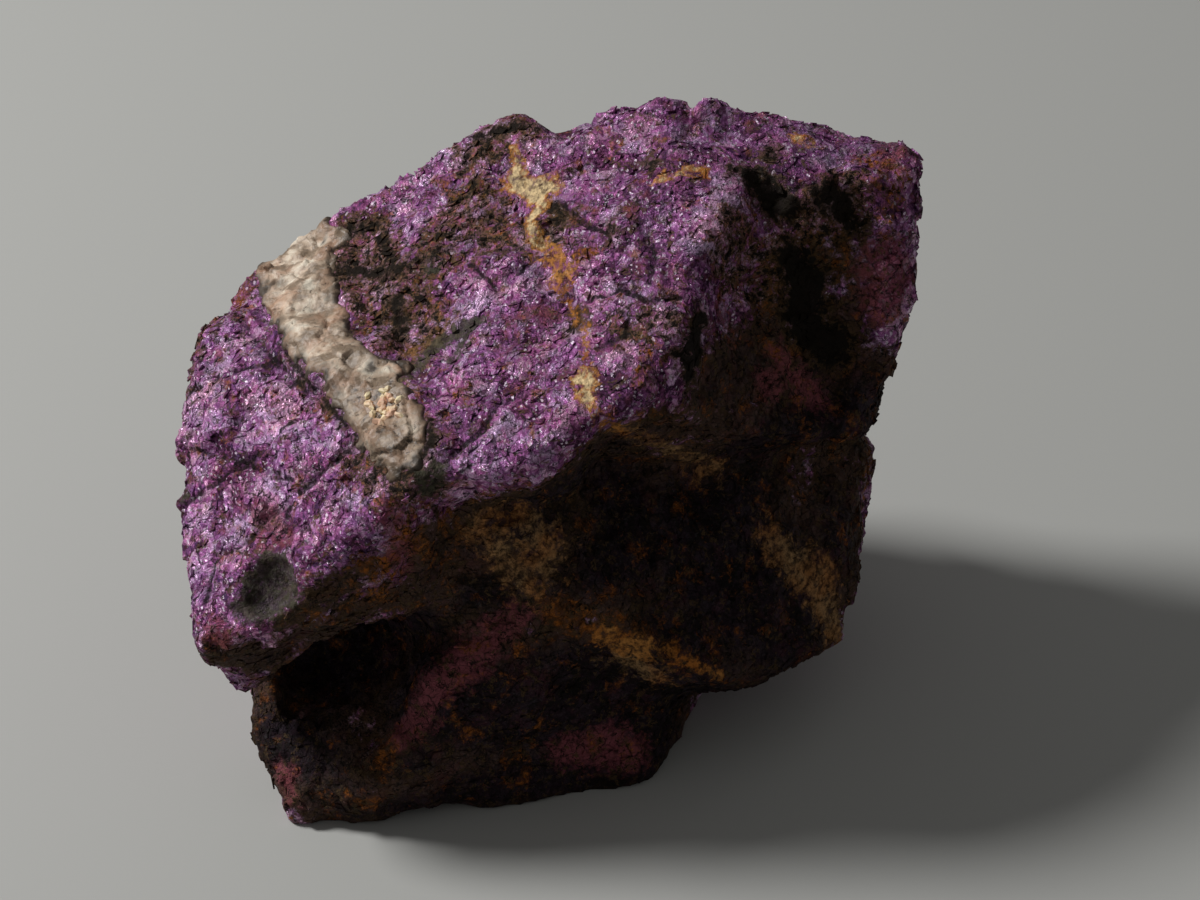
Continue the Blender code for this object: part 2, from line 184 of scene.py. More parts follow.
        ((-6.5, -14.3, 26.7, 0.6), (-7.7, -14.5, 25.9, 0.5), (-7.0, -14.3, 25.0, 0.5)),
        ((-5.4, -4.1, 28.9, 0.5), (-5.8, -5.2, 28.5, 0.5)),
        ((-7.6, 3.4, 29.7, 0.4), (-8.0, 4.0, 29.8, 0.3)),
    ],
    "beige": [
        ((-3.6, -11.2, 20.8, 0.4), (-1.3, -11.0, 20.4, 0.5), (-0.2, -11.5, 18.8, 1.1),
         (-0.4, -12.1, 17.3, 0.7)),
        ((-4.3, -11.6, 20.0, 0.5), (-2.7, -11.9, 18.2, 0.8), (-1.2, -12.5, 16.4, 0.7)),
        ((13.9, -4.2, 14.2, 0.5), (15.4, -4.6, 12.2, 1.0), (17.3, -4.2, 10.3, 1.6), (18.3, -4.9, 7.8, 1.1),
         (18.7, -5.0, 6.2, 0.8)),
        ((4.5, -12.5, 10.9, 0.6), (5.8, -12.5, 10.0, 0.9), (6.8, -12.2, 8.6, 0.6)),
        ((4.8, -10.3, 27.0, 0.2), (6.4, -7.2, 23.8, 0.15), (9.7, -3.2, 19.1, 0.3),
         (10.4, -2.9, 18.3, 0.45)),
        ((9.0, -5.0, 21.0, 0.3), (10.0, -3.0, 18.6, 0.4)),
        ((-9.3, -7.2, 28.0, 0.5), (-8.6, -4.3, 27.4, 0.5), (-7.6, -2.8, 27.9, 0.45),
         (-6.5, -2.3, 28.6, 0.5)),
    ],
    # black oxide marks; over the front, lower and overhung faces they are laid deep as painted shade, not
    # only oxide
    "oxide_and_shade": [
        ((17.5, 1.5, 30.5, 3.2), (14.0, -3.0, 27.0, 3.4), (10.5, -6.5, 27.0, 2.8)),
        ((19.4, 3.4, 32.5, 1.7), (19.6, 2.6, 28.0, 1.6), (17.5, 0.5, 24.5, 3.4)),
        ((-12.3, -15.5, 16.9, 1.6), (-10.2, -14.5, 16.7, 1.7), (-6.8, -12.7, 16.3, 1.7)),
        ((8.9, -6.7, 24.1, 1.7), (11.4, -6.2, 24.0, 1.7)),
        ((6.0, -11.0, 23.0, 5.4), (-1.0, -12.5, 20.5, 4.6), (-6.5, -14.0, 18.5, 3.1)),
        ((20.5, 0.0, 21.0, 4.5), (20.5, -2.0, 12.0, 5.0)),
        ((4.5, -7.0, 19.0, 4.5), (5.0, -9.5, 16.5, 4.5), (-4.5, -12.5, 15.5, 3.2)),
        ((-20.3, -17.2, 13.8, 1.8), (-17.5, -15.5, 12.8, 2.2), (-13.3, -15.1, 15.3, 2.2)),
        ((17.0, -3.0, 20.0, 6.0), (11.0, -8.0, 17.0, 7.0), (14.0, -6.0, 10.0, 7.0)),
        ((6.0, -10.0, 8.0, 8.0), (-3.0, -13.0, 8.0, 6.0), (-9.0, -15.0, 10.0, 5.0)),
        ((-14.0, -9.0, 10.0, 7.0), (-8.0, -12.0, 13.0, 3.6)),
        ((-16.2, -17.2, 16.6, 1.2), (-13.2, -16.4, 18.6, 1.6), (-10.0, -15.6, 20.6, 1.0),
         (-6.5, -14.2, 21.6, 2.0)),
        ((-13.0, -16.0, 1.5, 3.2), (-4.0, -14.5, 2.0, 4.0), (6.0, -12.5, 2.0, 4.5), (14.0, -8.0, 3.0, 4.5)),
        ((-11.0, -17.3, 5.2, 2.2), (-8.0, -16.5, 5.5, 3.0)),
        ((-17.5, -13.5, 5.0, 4.2), (-13.0, -15.0, 3.0, 4.0)),
        ((-4.0, 13.5, 1.0, 2.6), (3.0, 13.0, 3.0, 3.4), (8.5, 12.5, 2.0, 4.2), (14.5, 10.0, 6.0, 2.4),
         (18.5, 6.0, 11.0, 3.0), (20.5, 3.0, 17.0, 1.6)),
        ((-9.0, 12.0, 3.0, 3.2), (-15.0, 9.5, 4.0, 4.6), (-19.0, 4.0, 8.0, 2.6), (-22.0, -2.0, 9.0, 3.0),
         (-22.5, -8.0, 7.0, 2.4)),
    ],
    "dirty": [
        ((-10.9, -7.4, 27.5, 2.0), (-9.6, -10.3, 27.3, 1.8), (-9.0, -12.5, 26.8, 1.6)),
        ((11.5, 1.0, 33.0, 2.4), (14.5, 0.5, 30.5, 2.6), (19.0, 5.0, 34.0, 2.2)),
        ((4.5, -6.5, 31.5, 1.0), (7.5, -6.0, 32.0, 1.2)),
        ((-12.6, 9.0, 28.0, 2.4), (-10.8, 3.5, 28.2, 2.8), (-8.4, -1.2, 28.1, 2.4)),
        ((-7.7, 4.0, 29.9, 2.0), (-5.2, 8.5, 31.6, 2.0), (-3.2, 3.9, 31.5, 1.8), (0.7, 3.1, 32.8, 1.3)),
        ((-11.5, -12.0, 25.2, 1.2), (-9.0, -14.0, 25.2, 1.6), (-7.0, -14.4, 25.6, 1.5)),
        ((-21.5, 4.5, 23.0, 2.0), (-23.5, -4.0, 18.0, 1.6)),
        ((-1.0, 13.0, 34.5, 1.6), (-5.0, 12.0, 32.5, 1.6)),
    ],
}
# thin cracks: runs of points that a fine dark line follows
CRACKS = [
    ((-22.9, -7.5, 19.2), (-21.0, -7.6, 20.8), (-19.1, -7.7, 22.2), (-17.4, -6.8, 23.5),
     (-15.6, -6.5, 24.8), (-13.3, -6.9, 26.6)),
    ((-23.4, -0.6, 22.4), (-22.1, -0.5, 23.5), (-20.4, -0.7, 24.6), (-17.8, -1.3, 25.4),
     (-16.3, -3.7, 25.6)),
    ((-15.4, -10.7, 22.5), (-14.4, -10.7, 23.4), (-13.5, -10.7, 24.4), (-12.5, -10.4, 25.2),
     (-11.4, -10.9, 26.1)),
    ((-15.3, -10.8, 22.6), (-16.1, -11.0, 21.9), (-16.3, -11.7, 21.3), (-16.1, -13.9, 20.6)),
    ((-18.6, -12.3, 19.8), (-17.8, -11.5, 20.7), (-16.4, -11.1, 21.7), (-15.4, -10.8, 22.4)),
    ((-22.9, -4.5, 21.1), (-20.1, -6.5, 22.1), (-17.9, -8.5, 22.4), (-16.1, -9.9, 22.7)),
    ((-20.0, 3.6, 25.6), (-18.4, 1.0, 25.4), (-16.7, -2.4, 25.6), (-15.3, -4.9, 25.9)),
    ((-21.4, -14.4, 16.7), (-20.8, -12.3, 18.2), (-19.2, -12.3, 19.4)),
    ((-7.1, -14.4, 25.3), (-5.6, -13.1, 27.3), (-4.1, -12.1, 27.9), (-2.9, -9.5, 28.5)),
    ((0.7, 5.5, 33.5), (2.3, 2.7, 33.4), (3.9, 1.2, 33.9)),
    ((2.6, -3.3, 31.7), (4.5, -3.6, 32.7), (6.3, -5.2, 33.0), (8.2, -4.9, 33.1)),
    ((3.2, -7.0, 30.9), (4.8, -6.7, 31.4), (5.0, -5.9, 32.0)),
    ((-5.0, 2.4, 30.6), (-3.1, -0.8, 30.8), (-1.8, 0.4, 31.5), (-0.3, 2.1, 32.0)),
    ((5.7, 1.2, 34.4), (6.7, -0.7, 33.8), (6.3, -3.7, 33.5)),
    ((14.4, 4.9, 33.9), (15.9, 5.0, 34.9), (19.2, 6.1, 34.5)),
    ((-16.8, -0.4, 26.1), (-15.7, -3.3, 26.2), (-14.6, -5.4, 26.3), (-12.9, -8.1, 26.1),
     (-11.2, -11.2, 26.4), (-10.2, -12.7, 26.0)),
]
# the rotten lower end of the quartz, with loose grains
ROTTEN = [
    ((-10.6, -8.3, 27.8, 0.7), (-10.3, -9.3, 27.8, 0.8), (-9.5, -9.4, 27.8, 0.8)),
]
# the open socket at the left end is the first slate mark
SOCKET = MARKS["slate"][:1]

# Sizes on the broken surface, in millimetres
CRACK_REACH = 0.6  # how far from a crack its two sides are told apart
MARK_REACH = 6.0  # how far outside its chains a mark is still measured
BAND_RAGGED = 0.7  # how far the band's border wanders
BAND_BED = 0.35  # how far the skin sinks under the band
BAND_ROOT = 0.6  # how far the band's edge lies under the skin
BAND_WALL = 1.5  # thickness of the band before it is evened out
BAND_EDGE = -0.5  # the band is cut off this far outside its border
SOCKET_DEPTH = 0.5
CRACK_DEPTH = 0.3
CRACK_HALF = 0.42  # half the width of a crack's valley
VEIN_GAP = 0.3  # bare margin round a pale vein

# Where something starts to grow, and over how much it comes to full, in millimetres
BAND_CALM = (-0.2, 0.8)  # the skin grows calmer, by its depth in the band
BAND_SINK = (-0.1, 0.5)  # the skin sinks, by its depth in the band
BAND_RISE = (-0.45, 0.65)  # the band comes up, by the depth in it
FLOOR_FADE = (0.0, 1.2)  # the relief, by the height above the floor
SOCKET_RIM = (0.0, 0.8)  # the socket, by the depth in its mark
OFF_BAND = (0.4, 0.4)  # the plates, by the distance from the band
OFF_FLOOR = (0.8, 0.4)  # the plates, by the height above the floor
OFF_CRACK = (CRACK_HALF, 0.1)  # the plates, by the distance from a crack
ROTTEN_EDGE = (-0.5, 1.0)  # the loose grains, by the depth in the rotten end
OFF_RIDGE = (-0.5, 0.2)  # the plates, by the outward bend taken below 0, in radians

# Shares, counts and seeds
BAND_RELIEF = 0.15  # share of the skin's relief left under the band
SOCKET_SMOOTH = 0.8  # share of the relief lost in the socket
BAND_FRAYS = 0.9  # frays of the band's border for each millimetre
FACET_SWAY = 0.35  # how far the borders of facets wander, for each size
FACET_FOLDS = 0.9  # folds of these borders, for each size
FACET_SLOPE = 2.0  # slope of the steepest facets, for each depth
PLATE_NARROW = 0.8  # least width of a plate, for each least length
PLATE_SHEAR = 0.35  # how far a plate is sheared into a rhomb
SKIN_PASSES = 5  # rounds of softening
BAND_PASSES = 4
BAND_SEED = 3.0
GRAIN_SEED = 5
GRAIN_TILT = 0.8  # largest lean of a loose grain, in radians
GRAIN_UPRIGHT = 0.3  # least upward part of the normal under a loose grain

# Camera, lamp and floor: places and sizes in millimetres, and the camera's tilt in degrees
CAMERA_PLACE = Vector((3.23, -210.48, 170.71))
CAMERA_TILT = 54.0
CAMERA_LENS = 120.0
CAMERA_SENSOR = 36.0
LAMP_SIDE = Vector((-0.70, 0.14, 0.70))
LAMP_PLACE = 500.0
LAMP_WIDTH = 120.0
FLOOR_WIDTH = 3000.0

# Kinds of node that are used often
MATH = "ShaderNodeMath"
VECTOR = "ShaderNodeVectorMath"
REMAP = "ShaderNodeMapRange"
NOISE = "ShaderNodeTexNoise"
CELLS = "ShaderNodeTexVoronoi"
FIELD = "ShaderNodeAttribute"

HALF = (0.5, 0.5, 0.5)  # the middle of a random colour


def linear(hex_colour):
    """An sRGB hex colour as the linear RGBA that shaders take."""
    parts = [int(hex_colour[i:i + 2], 16) / 255 for i in (1, 3, 5)]
    return [p / 12.92 if p <= 0.04045 else ((p + 0.055) / 1.055) ** 2.4 for p in parts] + [1.0]


def colour_property(name, description, hex_colour):
    """A colour setting whose default is an sRGB hex value."""
    return FloatVectorProperty(name=name, description=description, subtype="COLOR", size=4,
                               min=0.0, max=1.0, default=linear(hex_colour))


def length_property(name, description, millimetres):
    """A length setting in metres, given in millimetres."""
    return FloatProperty(name=name, description=description, default=millimetres * MM,
                         min=0.0, unit="LENGTH", precision=5)


class StoneSettings(bpy.types.PropertyGroup):
    """Sizes of the broken surface."""

    grid: length_property("Skin grid", "Spacing of the skin's faces", 0.305)
    ledge_size: length_property("Ledge size", "Width of a cleavage ledge", 3.0)
    ledge_depth: length_property("Ledge depth", "Rise of a ledge from end to end", 0.3)
    chip_size: length_property("Chip size", "Width of a chip", 1.3)
    chip_depth: length_property("Chip depth", "Rise of a chip", 0.22)
    grit_size: length_property("Grit size", "Width of a crystal grain", 0.65)
    grit_depth: length_property("Grit depth", "Rise of a crystal grain", 0.1)
    seed: IntProperty(name="Seed", description="Draw of the broken surface", default=7)
    plates: FloatProperty(name="Plates", description="Cleavage plates on each square millimetre",
                          default=1.8, min=0.0)
    plate_small: length_property("Smallest plate", "Width of the smallest cleavage plate", 0.45)
    plate_large: length_property("Largest plate", "Width of the largest cleavage plate", 0.8)
    plate_thick: length_property("Plate thickness", "Thickness of a cleavage plate", 0.12)
    plate_tilt: FloatProperty(name="Plate tilt", description="Largest lean of a cleavage plate",
                              default=0.13, min=0.0, subtype="ANGLE")


class QuartzSettings(bpy.types.PropertyGroup):
    """Sizes of the quartz band and its grains."""

    grid: length_property("Band grid", "Spacing of the band's faces", 0.14)
    proud: length_property("Stand", "How far the band stands above the phosphate", 0.06)
    crystal_size: length_property("Crystal size", "Width of a quartz crystal", 1.9)
    crystal_depth: length_property("Crystal depth", "Rise of a quartz crystal", 0.3)
    sugar_size: length_property("Sugar size", "Width of a small quartz grain", 0.5)
    sugar_depth: length_property("Sugar depth", "Rise of a small quartz grain", 0.08)
    grains: FloatProperty(name="Grains", description="Loose grains on each rotten square millimetre",
                          default=6.0, min=0.0)
    grain_small: length_property("Smallest grain", "Width of the smallest loose grain", 0.5)
    grain_large: length_property("Largest grain", "Width of the largest loose grain", 0.95)


class ColourSettings(bpy.types.PropertyGroup):
    """Colours of the minerals."""

    purple_deep: colour_property("Deep purple", "Shaded side of a phosphate grain", "#42203a")
    purple: colour_property("Purple", "Common colour of the phosphate", "#a4629a")
    lilac: colour_property("Lilac", "Bright cleavage of the phosphate", "#f2c8ec")
    # painted highlight: near-white colour painted on a few specks to stand for mirror glints
    painted_glint: colour_property("Glint", "Mirror-like cleavage face", "#f0dcf0")
    violet: colour_property("Violet", "Bluish end of the phosphate", "#5d4a86")
    rosy: colour_property("Rosy", "Reddish phosphate", "#884850")
    # black oxide colour, also used as painted shade over the front, lower and overhung faces
    oxide_and_shade: colour_property("Crust", "Black manganese oxide", "#110e0a")
    umber: colour_property("Umber", "Brown rim of the dark matrix", "#4a3824")
    loam: colour_property("Loam", "Olive-brown dirt on the clean side", "#5e4b2e")
    rust: colour_property("Rust", "Iron oxide stain", "#96561f")
    ochre: colour_property("Ochre", "Iron-stained vein", "#a8733a")
    cream: colour_property("Cream", "Clay and feldspar vein", "#cdb68c")
    slate: colour_property("Slate green", "Altered grey-green patch", "#424034")
    beige: colour_property("Beige", "Pale vein in the dark side", "#94744f")
    quartz: colour_property("Quartz", "Milky quartz", "#bfa993")
    quartz_white: colour_property("White quartz", "Cloudy heart of a quartz crystal", "#e6dac6")
    quartz_smoky: colour_property("Smoky quartz", "Clear, dark part of the quartz", "#84715e")
    quartz_warm: colour_property("Warm quartz", "Iron-stained quartz", "#bd8f72")
    grain: colour_property("Cream grain", "Rotten feldspar grain", "#eeddb4")
    grain_rosy: colour_property("Rosy grain", "Pinkish feldspar grain", "#dcb094")
    quartz_joint: colour_property("Quartz joint", "Dirt in the joints of the quartz", "#33261a")


class StageSettings(bpy.types.PropertyGroup):
    """Floor and light."""

    floor: colour_property("Floor", "Colour of the floor", "#b4b4b0")
    key: FloatProperty(name="Key light", description="Power of the soft light above", default=2.2,
                       min=0.0, unit="POWER")
    fill: FloatProperty(name="Fill", description="Strength of the light all round", default=0.15, min=0.0)


# Small tools


def put(tree, kind, values=None, out=0, **settings):
    """Add a node with its settings and links, and give back one of its outputs."""
    made = tree.nodes.new(kind)
    for name, value in settings.items():
        setattr(made, name, value)
    for socket, value in (values or {}).items():
        if isinstance(value, bpy.types.NodeSocket):
            tree.links.new(value, made.inputs[socket])
        else:
            made.inputs[socket].default_value = value
    return made.outputs[out] if len(made.outputs) else made


def unit(values):
    """Values held between 0 and 1."""
    return np.clip(values, 0.0, 1.0)


def rising(values, span):
    """How far values have come through a span: 0 before its start, and 1 past its width."""
    start, width = span
    return unit((values - start) / width)


def points_of(mesh):
    """A mesh's points as an array in millimetres."""
    flat = np.empty(len(mesh.vertices) * 3, np.float32)
    mesh.vertices.foreach_get("co", flat)
    return flat.reshape(-1, 3).astype(float) / MM


def move_points(mesh, points):
    """Put a mesh's points at these places, in millimetres."""
    mesh.vertices.foreach_set("co", (points * MM).astype(np.float32).ravel())
    mesh.update()


def normals_of(mesh):
    """A mesh's point normals as an array."""
    flat = np.empty(len(mesh.vertices) * 3, np.float32)
    mesh.vertex_normals.foreach_get("vector", flat)
    return flat.reshape(-1, 3).astype(float)


def depth_in(points, chains):
    """How far each point lies inside the nearest chain, in millimetres, and below 0 outside."""
    best = np.full(len(points), -MARK_REACH)
    for chain in chains:
        balls = np.array(chain)
        for start, end in zip(balls[:-1], balls[1:]):
            run = end[:3] - start[:3]
            share = unit((points - start[:3]) @ run / max(run @ run, 1e-9))
            gap = np.linalg.norm(points - start[:3] - share[:, None] * run, axis=1)
            best = np.maximum(best, start[3] + share * (end[3] - start[3]) - gap)
    return best


def band_at(points):
    """How far each point lies inside the quartz band, whose border is ragged."""
    ragged = np.array([noise.noise(Vector(point) * BAND_FRAYS) for point in points])
    return depth_in(points, QUARTZ_BAND) + BAND_RAGGED * ragged


def sides_of(points, normals, runs):
    """How far each point lies to one side of the nearest crack, and its distance, in millimetres."""
    near = np.full(len(points), CRACK_REACH)
    side = np.full(len(points), CRACK_REACH)
    for run in runs:
        stops = np.array(run)
        for start, end in zip(stops[:-1], stops[1:]):
            along = end - start
            share = unit((points - start) @ along / (along @ along))
            arm = points - start - share[:, None] * along
            gap = np.linalg.norm(arm, axis=1)
            across = np.cross(along, normals)
            across /= np.linalg.norm(across, axis=1)[:, None] + 1e-9
            closer = gap < near
            near[closer] = gap[closer]
            side[closer] = (arm * across).sum(1)[closer]
    return side, near


def bends_of(mesh):
    """How far the surface bends outward along the sharpest edge at each point, in radians."""
    ends = np.empty(len(mesh.edges) * 2, np.int32)
    mesh.edges.foreach_get("vertices", ends)
    start, end = ends.reshape(-1, 2).T
    points, normals = points_of(mesh), normals_of(mesh)
    run = points[end] - points[start]
    bend = ((normals[end] - normals[start]) * run).sum(1) / (np.linalg.norm(run, axis=1) + 1e-9)
    sharpest = np.zeros(len(points))
    np.maximum.at(sharpest, start, bend)
    np.maximum.at(sharpest, end, bend)
    return sharpest


def store(mesh, name, values):
    """Keep one number for each point of a mesh."""
    field = mesh.attributes.new(name, "FLOAT", "POINT")
    field.data.foreach_set("value", np.asarray(values, np.float32))


def add_object(name, data):
    """A new object in the scene for this mesh, lamp or camera."""
    made = bpy.data.objects.new(name, data)
    bpy.context.scene.collection.objects.link(made)
    return made


def bake_modifiers(piece):
    """Turn a piece with modifiers into a plain mesh."""
    graph = bpy.context.evaluated_depsgraph_get()
    graph.update()
    mesh = bpy.data.meshes.new_from_object(piece.evaluated_get(graph), preserve_all_data_layers=True,
                                           depsgraph=graph)
    piece.modifiers.clear()
    piece.data = mesh
    mesh.name = piece.name
    if not mesh.polygons:
        raise RuntimeError(piece.name + " came out empty")


def even_out(piece, grid, passes):
    """Rebuild a closed piece in even faces, and soften it."""
    cells = piece.modifiers.new("grain", "REMESH")
    cells.mode = "VOXEL"
    cells.voxel_size = grid
    soften = piece.modifiers.new("soften", "SMOOTH")
    soften.factor = 0.5
    soften.iterations = passes
    bake_modifiers(piece)


def solid_copy(name, grid):
    """An even-grained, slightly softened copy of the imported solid."""
    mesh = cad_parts[NODE].data.copy()
    work = bmesh.new()
    work.from_mesh(mesh)
    bmesh.ops.remove_doubles(work, verts=work.verts, dist=1e-6)
    work.to_mesh(mesh)
    work.free()
    piece = add_object(name, mesh)
    even_out(piece, grid, SKIN_PASSES)
    return piece


def smooth_shaded(mesh):
    """Shade a mesh smoothly."""
    mesh.polygons.foreach_set("use_smooth", [True] * len(mesh.polygons))
    mesh.update()


def give(piece, material, replaces=None):
    """Finish a piece: one material, its body, and the imported part it replaces hidden."""
    piece.data.materials.clear()
    piece.data.materials.append(material)
    if replaces:
        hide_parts(replaces)
    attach(piece, BODY)


def new_shape_tree(name, numbers, seed_kind):
    """A node tree that turns a mesh into a mesh, and its inputs: numbers, a seed and a material."""
    tree = bpy.data.node_groups.new(name, "GeometryNodeTree")
    tree.interface.new_socket("Geometry", in_out="OUTPUT", socket_type="NodeSocketGeometry")
    inputs = [("Geometry", "Geometry")] + [(number, "Float") for number in numbers]
    for word, kind in inputs + [("Seed", seed_kind), ("Material", "Material")]:
        tree.interface.new_socket(word, in_out="INPUT", socket_type="NodeSocket" + kind)
    return tree, tree.nodes.new("NodeGroupInput").outputs


def end_shape_tree(tree, shape, material):
    """Make the shape one plain mesh with its material, and send it out."""
    whole = put(tree, "GeometryNodeRealizeInstances", {0: shape})
    dressed = put(tree, "GeometryNodeSetMaterial", {"Geometry": whole, "Material": material})
    put(tree, "NodeGroupOutput", {0: dressed})


def sway_of(tree, spot, **settings):
    """A soft random push for each place."""
    sway = put(tree, NOISE, {"Vector": spot, **settings}, out="Color")
    return put(tree, VECTOR, {0: sway, 1: HALF}, operation="SUBTRACT")


def pushed(tree, spot, sway, amount):
    """Places pushed aside by a share of their sway."""
    push = put(tree, VECTOR, {0: sway, "Scale": amount}, operation="SCALE")
    return put(tree, VECTOR, {0: spot, 1: push}, operation="ADD")


def relief_tree(name, levels):
    """A node tree that breaks a surface into tilted facets, one set of facets for each level."""
    numbers = [f"{level} {word}" for level in levels for word in ("Size", "Depth")]
    tree, start = new_shape_tree(name, numbers, "Float")
    place = put(tree, "GeometryNodeInputPosition")
    shift = put(tree, "ShaderNodeCombineXYZ", {0: start["Seed"], 1: start["Seed"], 2: start["Seed"]})
    rise = None
    for level in levels:
        size, depth = start[level + " Size"], start[level + " Depth"]
        spread = put(tree, MATH, {0: FACET_SWAY, 1: size}, operation="MULTIPLY")
        fold = put(tree, MATH, {0: FACET_FOLDS, 1: size}, operation="DIVIDE")
        bent = pushed(tree, place, sway_of(tree, place, Scale=fold, Detail=2.0), spread)
        bent = put(tree, VECTOR, {0: bent, 1: shift}, operation="ADD")
        count = put(tree, MATH, {0: 1.0, 1: size}, operation="DIVIDE")
        cell = put(tree, CELLS, {"Vector": bent, "Scale": count}).node.outputs
        arm = put(tree, VECTOR, {0: bent, 1: cell["Position"]}, operation="SUBTRACT")
        arm = put(tree, VECTOR, {0: arm, "Scale": count}, operation="SCALE")
        tilt = put(tree, VECTOR, {0: cell["Color"], 1: HALF}, operation="SUBTRACT")
        slope = put(tree, VECTOR, {0: arm, 1: tilt}, out="Value", operation="DOT_PRODUCT")
        step = put(tree, MATH, {0: slope, 1: depth}, operation="MULTIPLY")
        step = put(tree, MATH, {0: step, 1: FACET_SLOPE}, operation="MULTIPLY")
        rise = step if rise is None else put(tree, MATH, {0: rise, 1: step}, operation="ADD")
    keep = put(tree, "GeometryNodeInputNamedAttribute", {"Name": "relief"})
    sink = put(tree, "GeometryNodeInputNamedAttribute", {"Name": "lift"})
    rise = put(tree, MATH, {0: rise, 1: keep}, operation="MULTIPLY")
    rise = put(tree, MATH, {0: rise, 1: sink}, operation="ADD")
    out_of = put(tree, "GeometryNodeInputNormal")
    move = put(tree, VECTOR, {0: out_of, "Scale": rise}, operation="SCALE")
    moved = put(tree, "GeometryNodeSetPosition", {"Geometry": start["Geometry"], "Offset": move})
    end_shape_tree(tree, moved, start["Material"])
    return tree


def sowing_tree(name, lumpy):
    """A node tree that sows leaning rhombs or lumps over a surface, more where "sown" is high."""
    tree, start = new_shape_tree(name, ("Density", "Smallest", "Largest", "Thickness", "Tilt"), "Int")
    sown = put(tree, "GeometryNodeInputNamedAttribute", {"Name": "sown"})
    density = put(tree, MATH, {0: sown, 1: start["Density"]}, operation="MULTIPLY")
    points = put(tree, "GeometryNodeDistributePointsOnFaces",
                 {"Mesh": start["Geometry"], "Density": density, "Seed": start["Seed"]}, out="Points")
    back = put(tree, MATH, {0: start["Tilt"], 1: -1.0}, operation="MULTIPLY")
    least = put(tree, "ShaderNodeCombineXYZ", {0: back, 1: back, 2: -math.pi})
    largest = put(tree, "ShaderNodeCombineXYZ", {0: start["Tilt"], 1: start["Tilt"], 2: math.pi})
    lean = put(tree, "FunctionNodeRandomValue", {0: least, 1: largest, "Seed": start["Seed"]},
               data_type="FLOAT_VECTOR")
    lean = put(tree, "FunctionNodeEulerToRotation", {0: lean})
    turn = put(tree, "FunctionNodeRotateRotation", {0: points.node.outputs["Rotation"], 1: lean},
               rotation_space="LOCAL")
    narrow = put(tree, MATH, {0: start["Smallest"], 1: PLATE_NARROW}, operation="MULTIPLY")
    least = put(tree, "ShaderNodeCombineXYZ", {0: start["Smallest"], 1: narrow, 2: start["Thickness"]})
    largest = put(tree, "ShaderNodeCombineXYZ",
                  {0: start["Largest"], 1: start["Smallest"], 2: start["Thickness"]})
    size = put(tree, "FunctionNodeRandomValue", {0: least, 1: largest, "Seed": start["Seed"]},
               data_type="FLOAT_VECTOR")
    block = (put(tree, "GeometryNodeMeshIcoSphere", {"Radius": 0.5, "Subdivisions": 1}) if lumpy
             else put(tree, "GeometryNodeMeshCube", {"Size": (1.0, 1.0, 1.0)}))
    place = put(tree, "ShaderNodeSeparateXYZ", {0: put(tree, "GeometryNodeInputPosition")}, out="Y")
    shear = put(tree, MATH, {0: place, 1: PLATE_SHEAR}, operation="MULTIPLY")
    rhomb = put(tree, "GeometryNodeSetPosition",
                {"Geometry": block, "Offset": put(tree, "ShaderNodeCombineXYZ", {0: shear})})
    sowing = put(tree, "GeometryNodeInstanceOnPoints",
                 {"Points": points, "Instance": rhomb, "Rotation": turn, "Scale": size})
    end_shape_tree(tree, sowing, start["Material"])
    return tree


def run_tree(piece, tree, values):
    """Give a piece a node tree with its named inputs, and make the result plain."""
    made = piece.modifiers.new(tree.name, "NODES")
    made.node_group = tree
    for item in tree.interface.items_tree:
        if item.item_type == "SOCKET" and item.in_out == "INPUT" and item.name in values:
            made[item.identifier] = values[item.name]
    bake_modifiers(piece)


# Materials


def fresh_material(name):
    """A material with one shader, its tree, and the shader's inputs."""
    material = bpy.data.materials.new(name)
    material.use_nodes = True
    tree = material.node_tree
    return material, tree, tree.nodes["Principled BSDF"].inputs


def spot_in_millimetres(tree):
    """Each place on the stone, in millimetres."""
    spot = put(tree, "ShaderNodeTexCoord", out="Object")
    return put(tree, VECTOR, {0: spot, "Scale": 1 / MM}, operation="SCALE")


def over(tree, colour, cover, paint):
    """The colour with a paint laid over it."""
    return put(tree, "ShaderNodeMix", {0: cover, 6: colour, 7: paint}, out=2, data_type="RGBA")


def most(tree, *covers):
    """The largest of some covers."""
    largest = covers[0]
    for cover in covers[1:]:
        largest = put(tree, MATH, {0: largest, 1: cover}, operation="MAXIMUM")
    return largest


def lean_of(tree, draws):
    """How a grain leans, from pairs of a random colour and its share."""
    lean = None
    for draw, share in draws:
        part = put(tree, VECTOR, {0: draw, 1: HALF}, operation="SUBTRACT")
        part = put(tree, VECTOR, {0: part, "Scale": share}, operation="SCALE")
        lean = part if lean is None else put(tree, VECTOR, {0: lean, 1: part}, operation="ADD")
    return lean


def turn_grains(tree, surface, lean, rough, strength, depth):
    """Lean each grain its own way, with a fine roughness some millimetres deep over it."""
    facing = put(tree, "ShaderNodeNewGeometry", out="Normal")
    facing = put(tree, VECTOR, {0: facing, 1: lean}, operation="ADD")
    facing = put(tree, VECTOR, {0: facing}, operation="NORMALIZE")
    height = put(tree, NOISE, rough)
    facing = put(tree, "ShaderNodeBump", {"Height": height, "Strength": strength, "Distance": depth * MM,
                                          "Normal": facing})
    tree.links.new(facing, surface["Normal"])


Ground = namedtuple("Ground", "spot sway bent drawn bits frays shown")


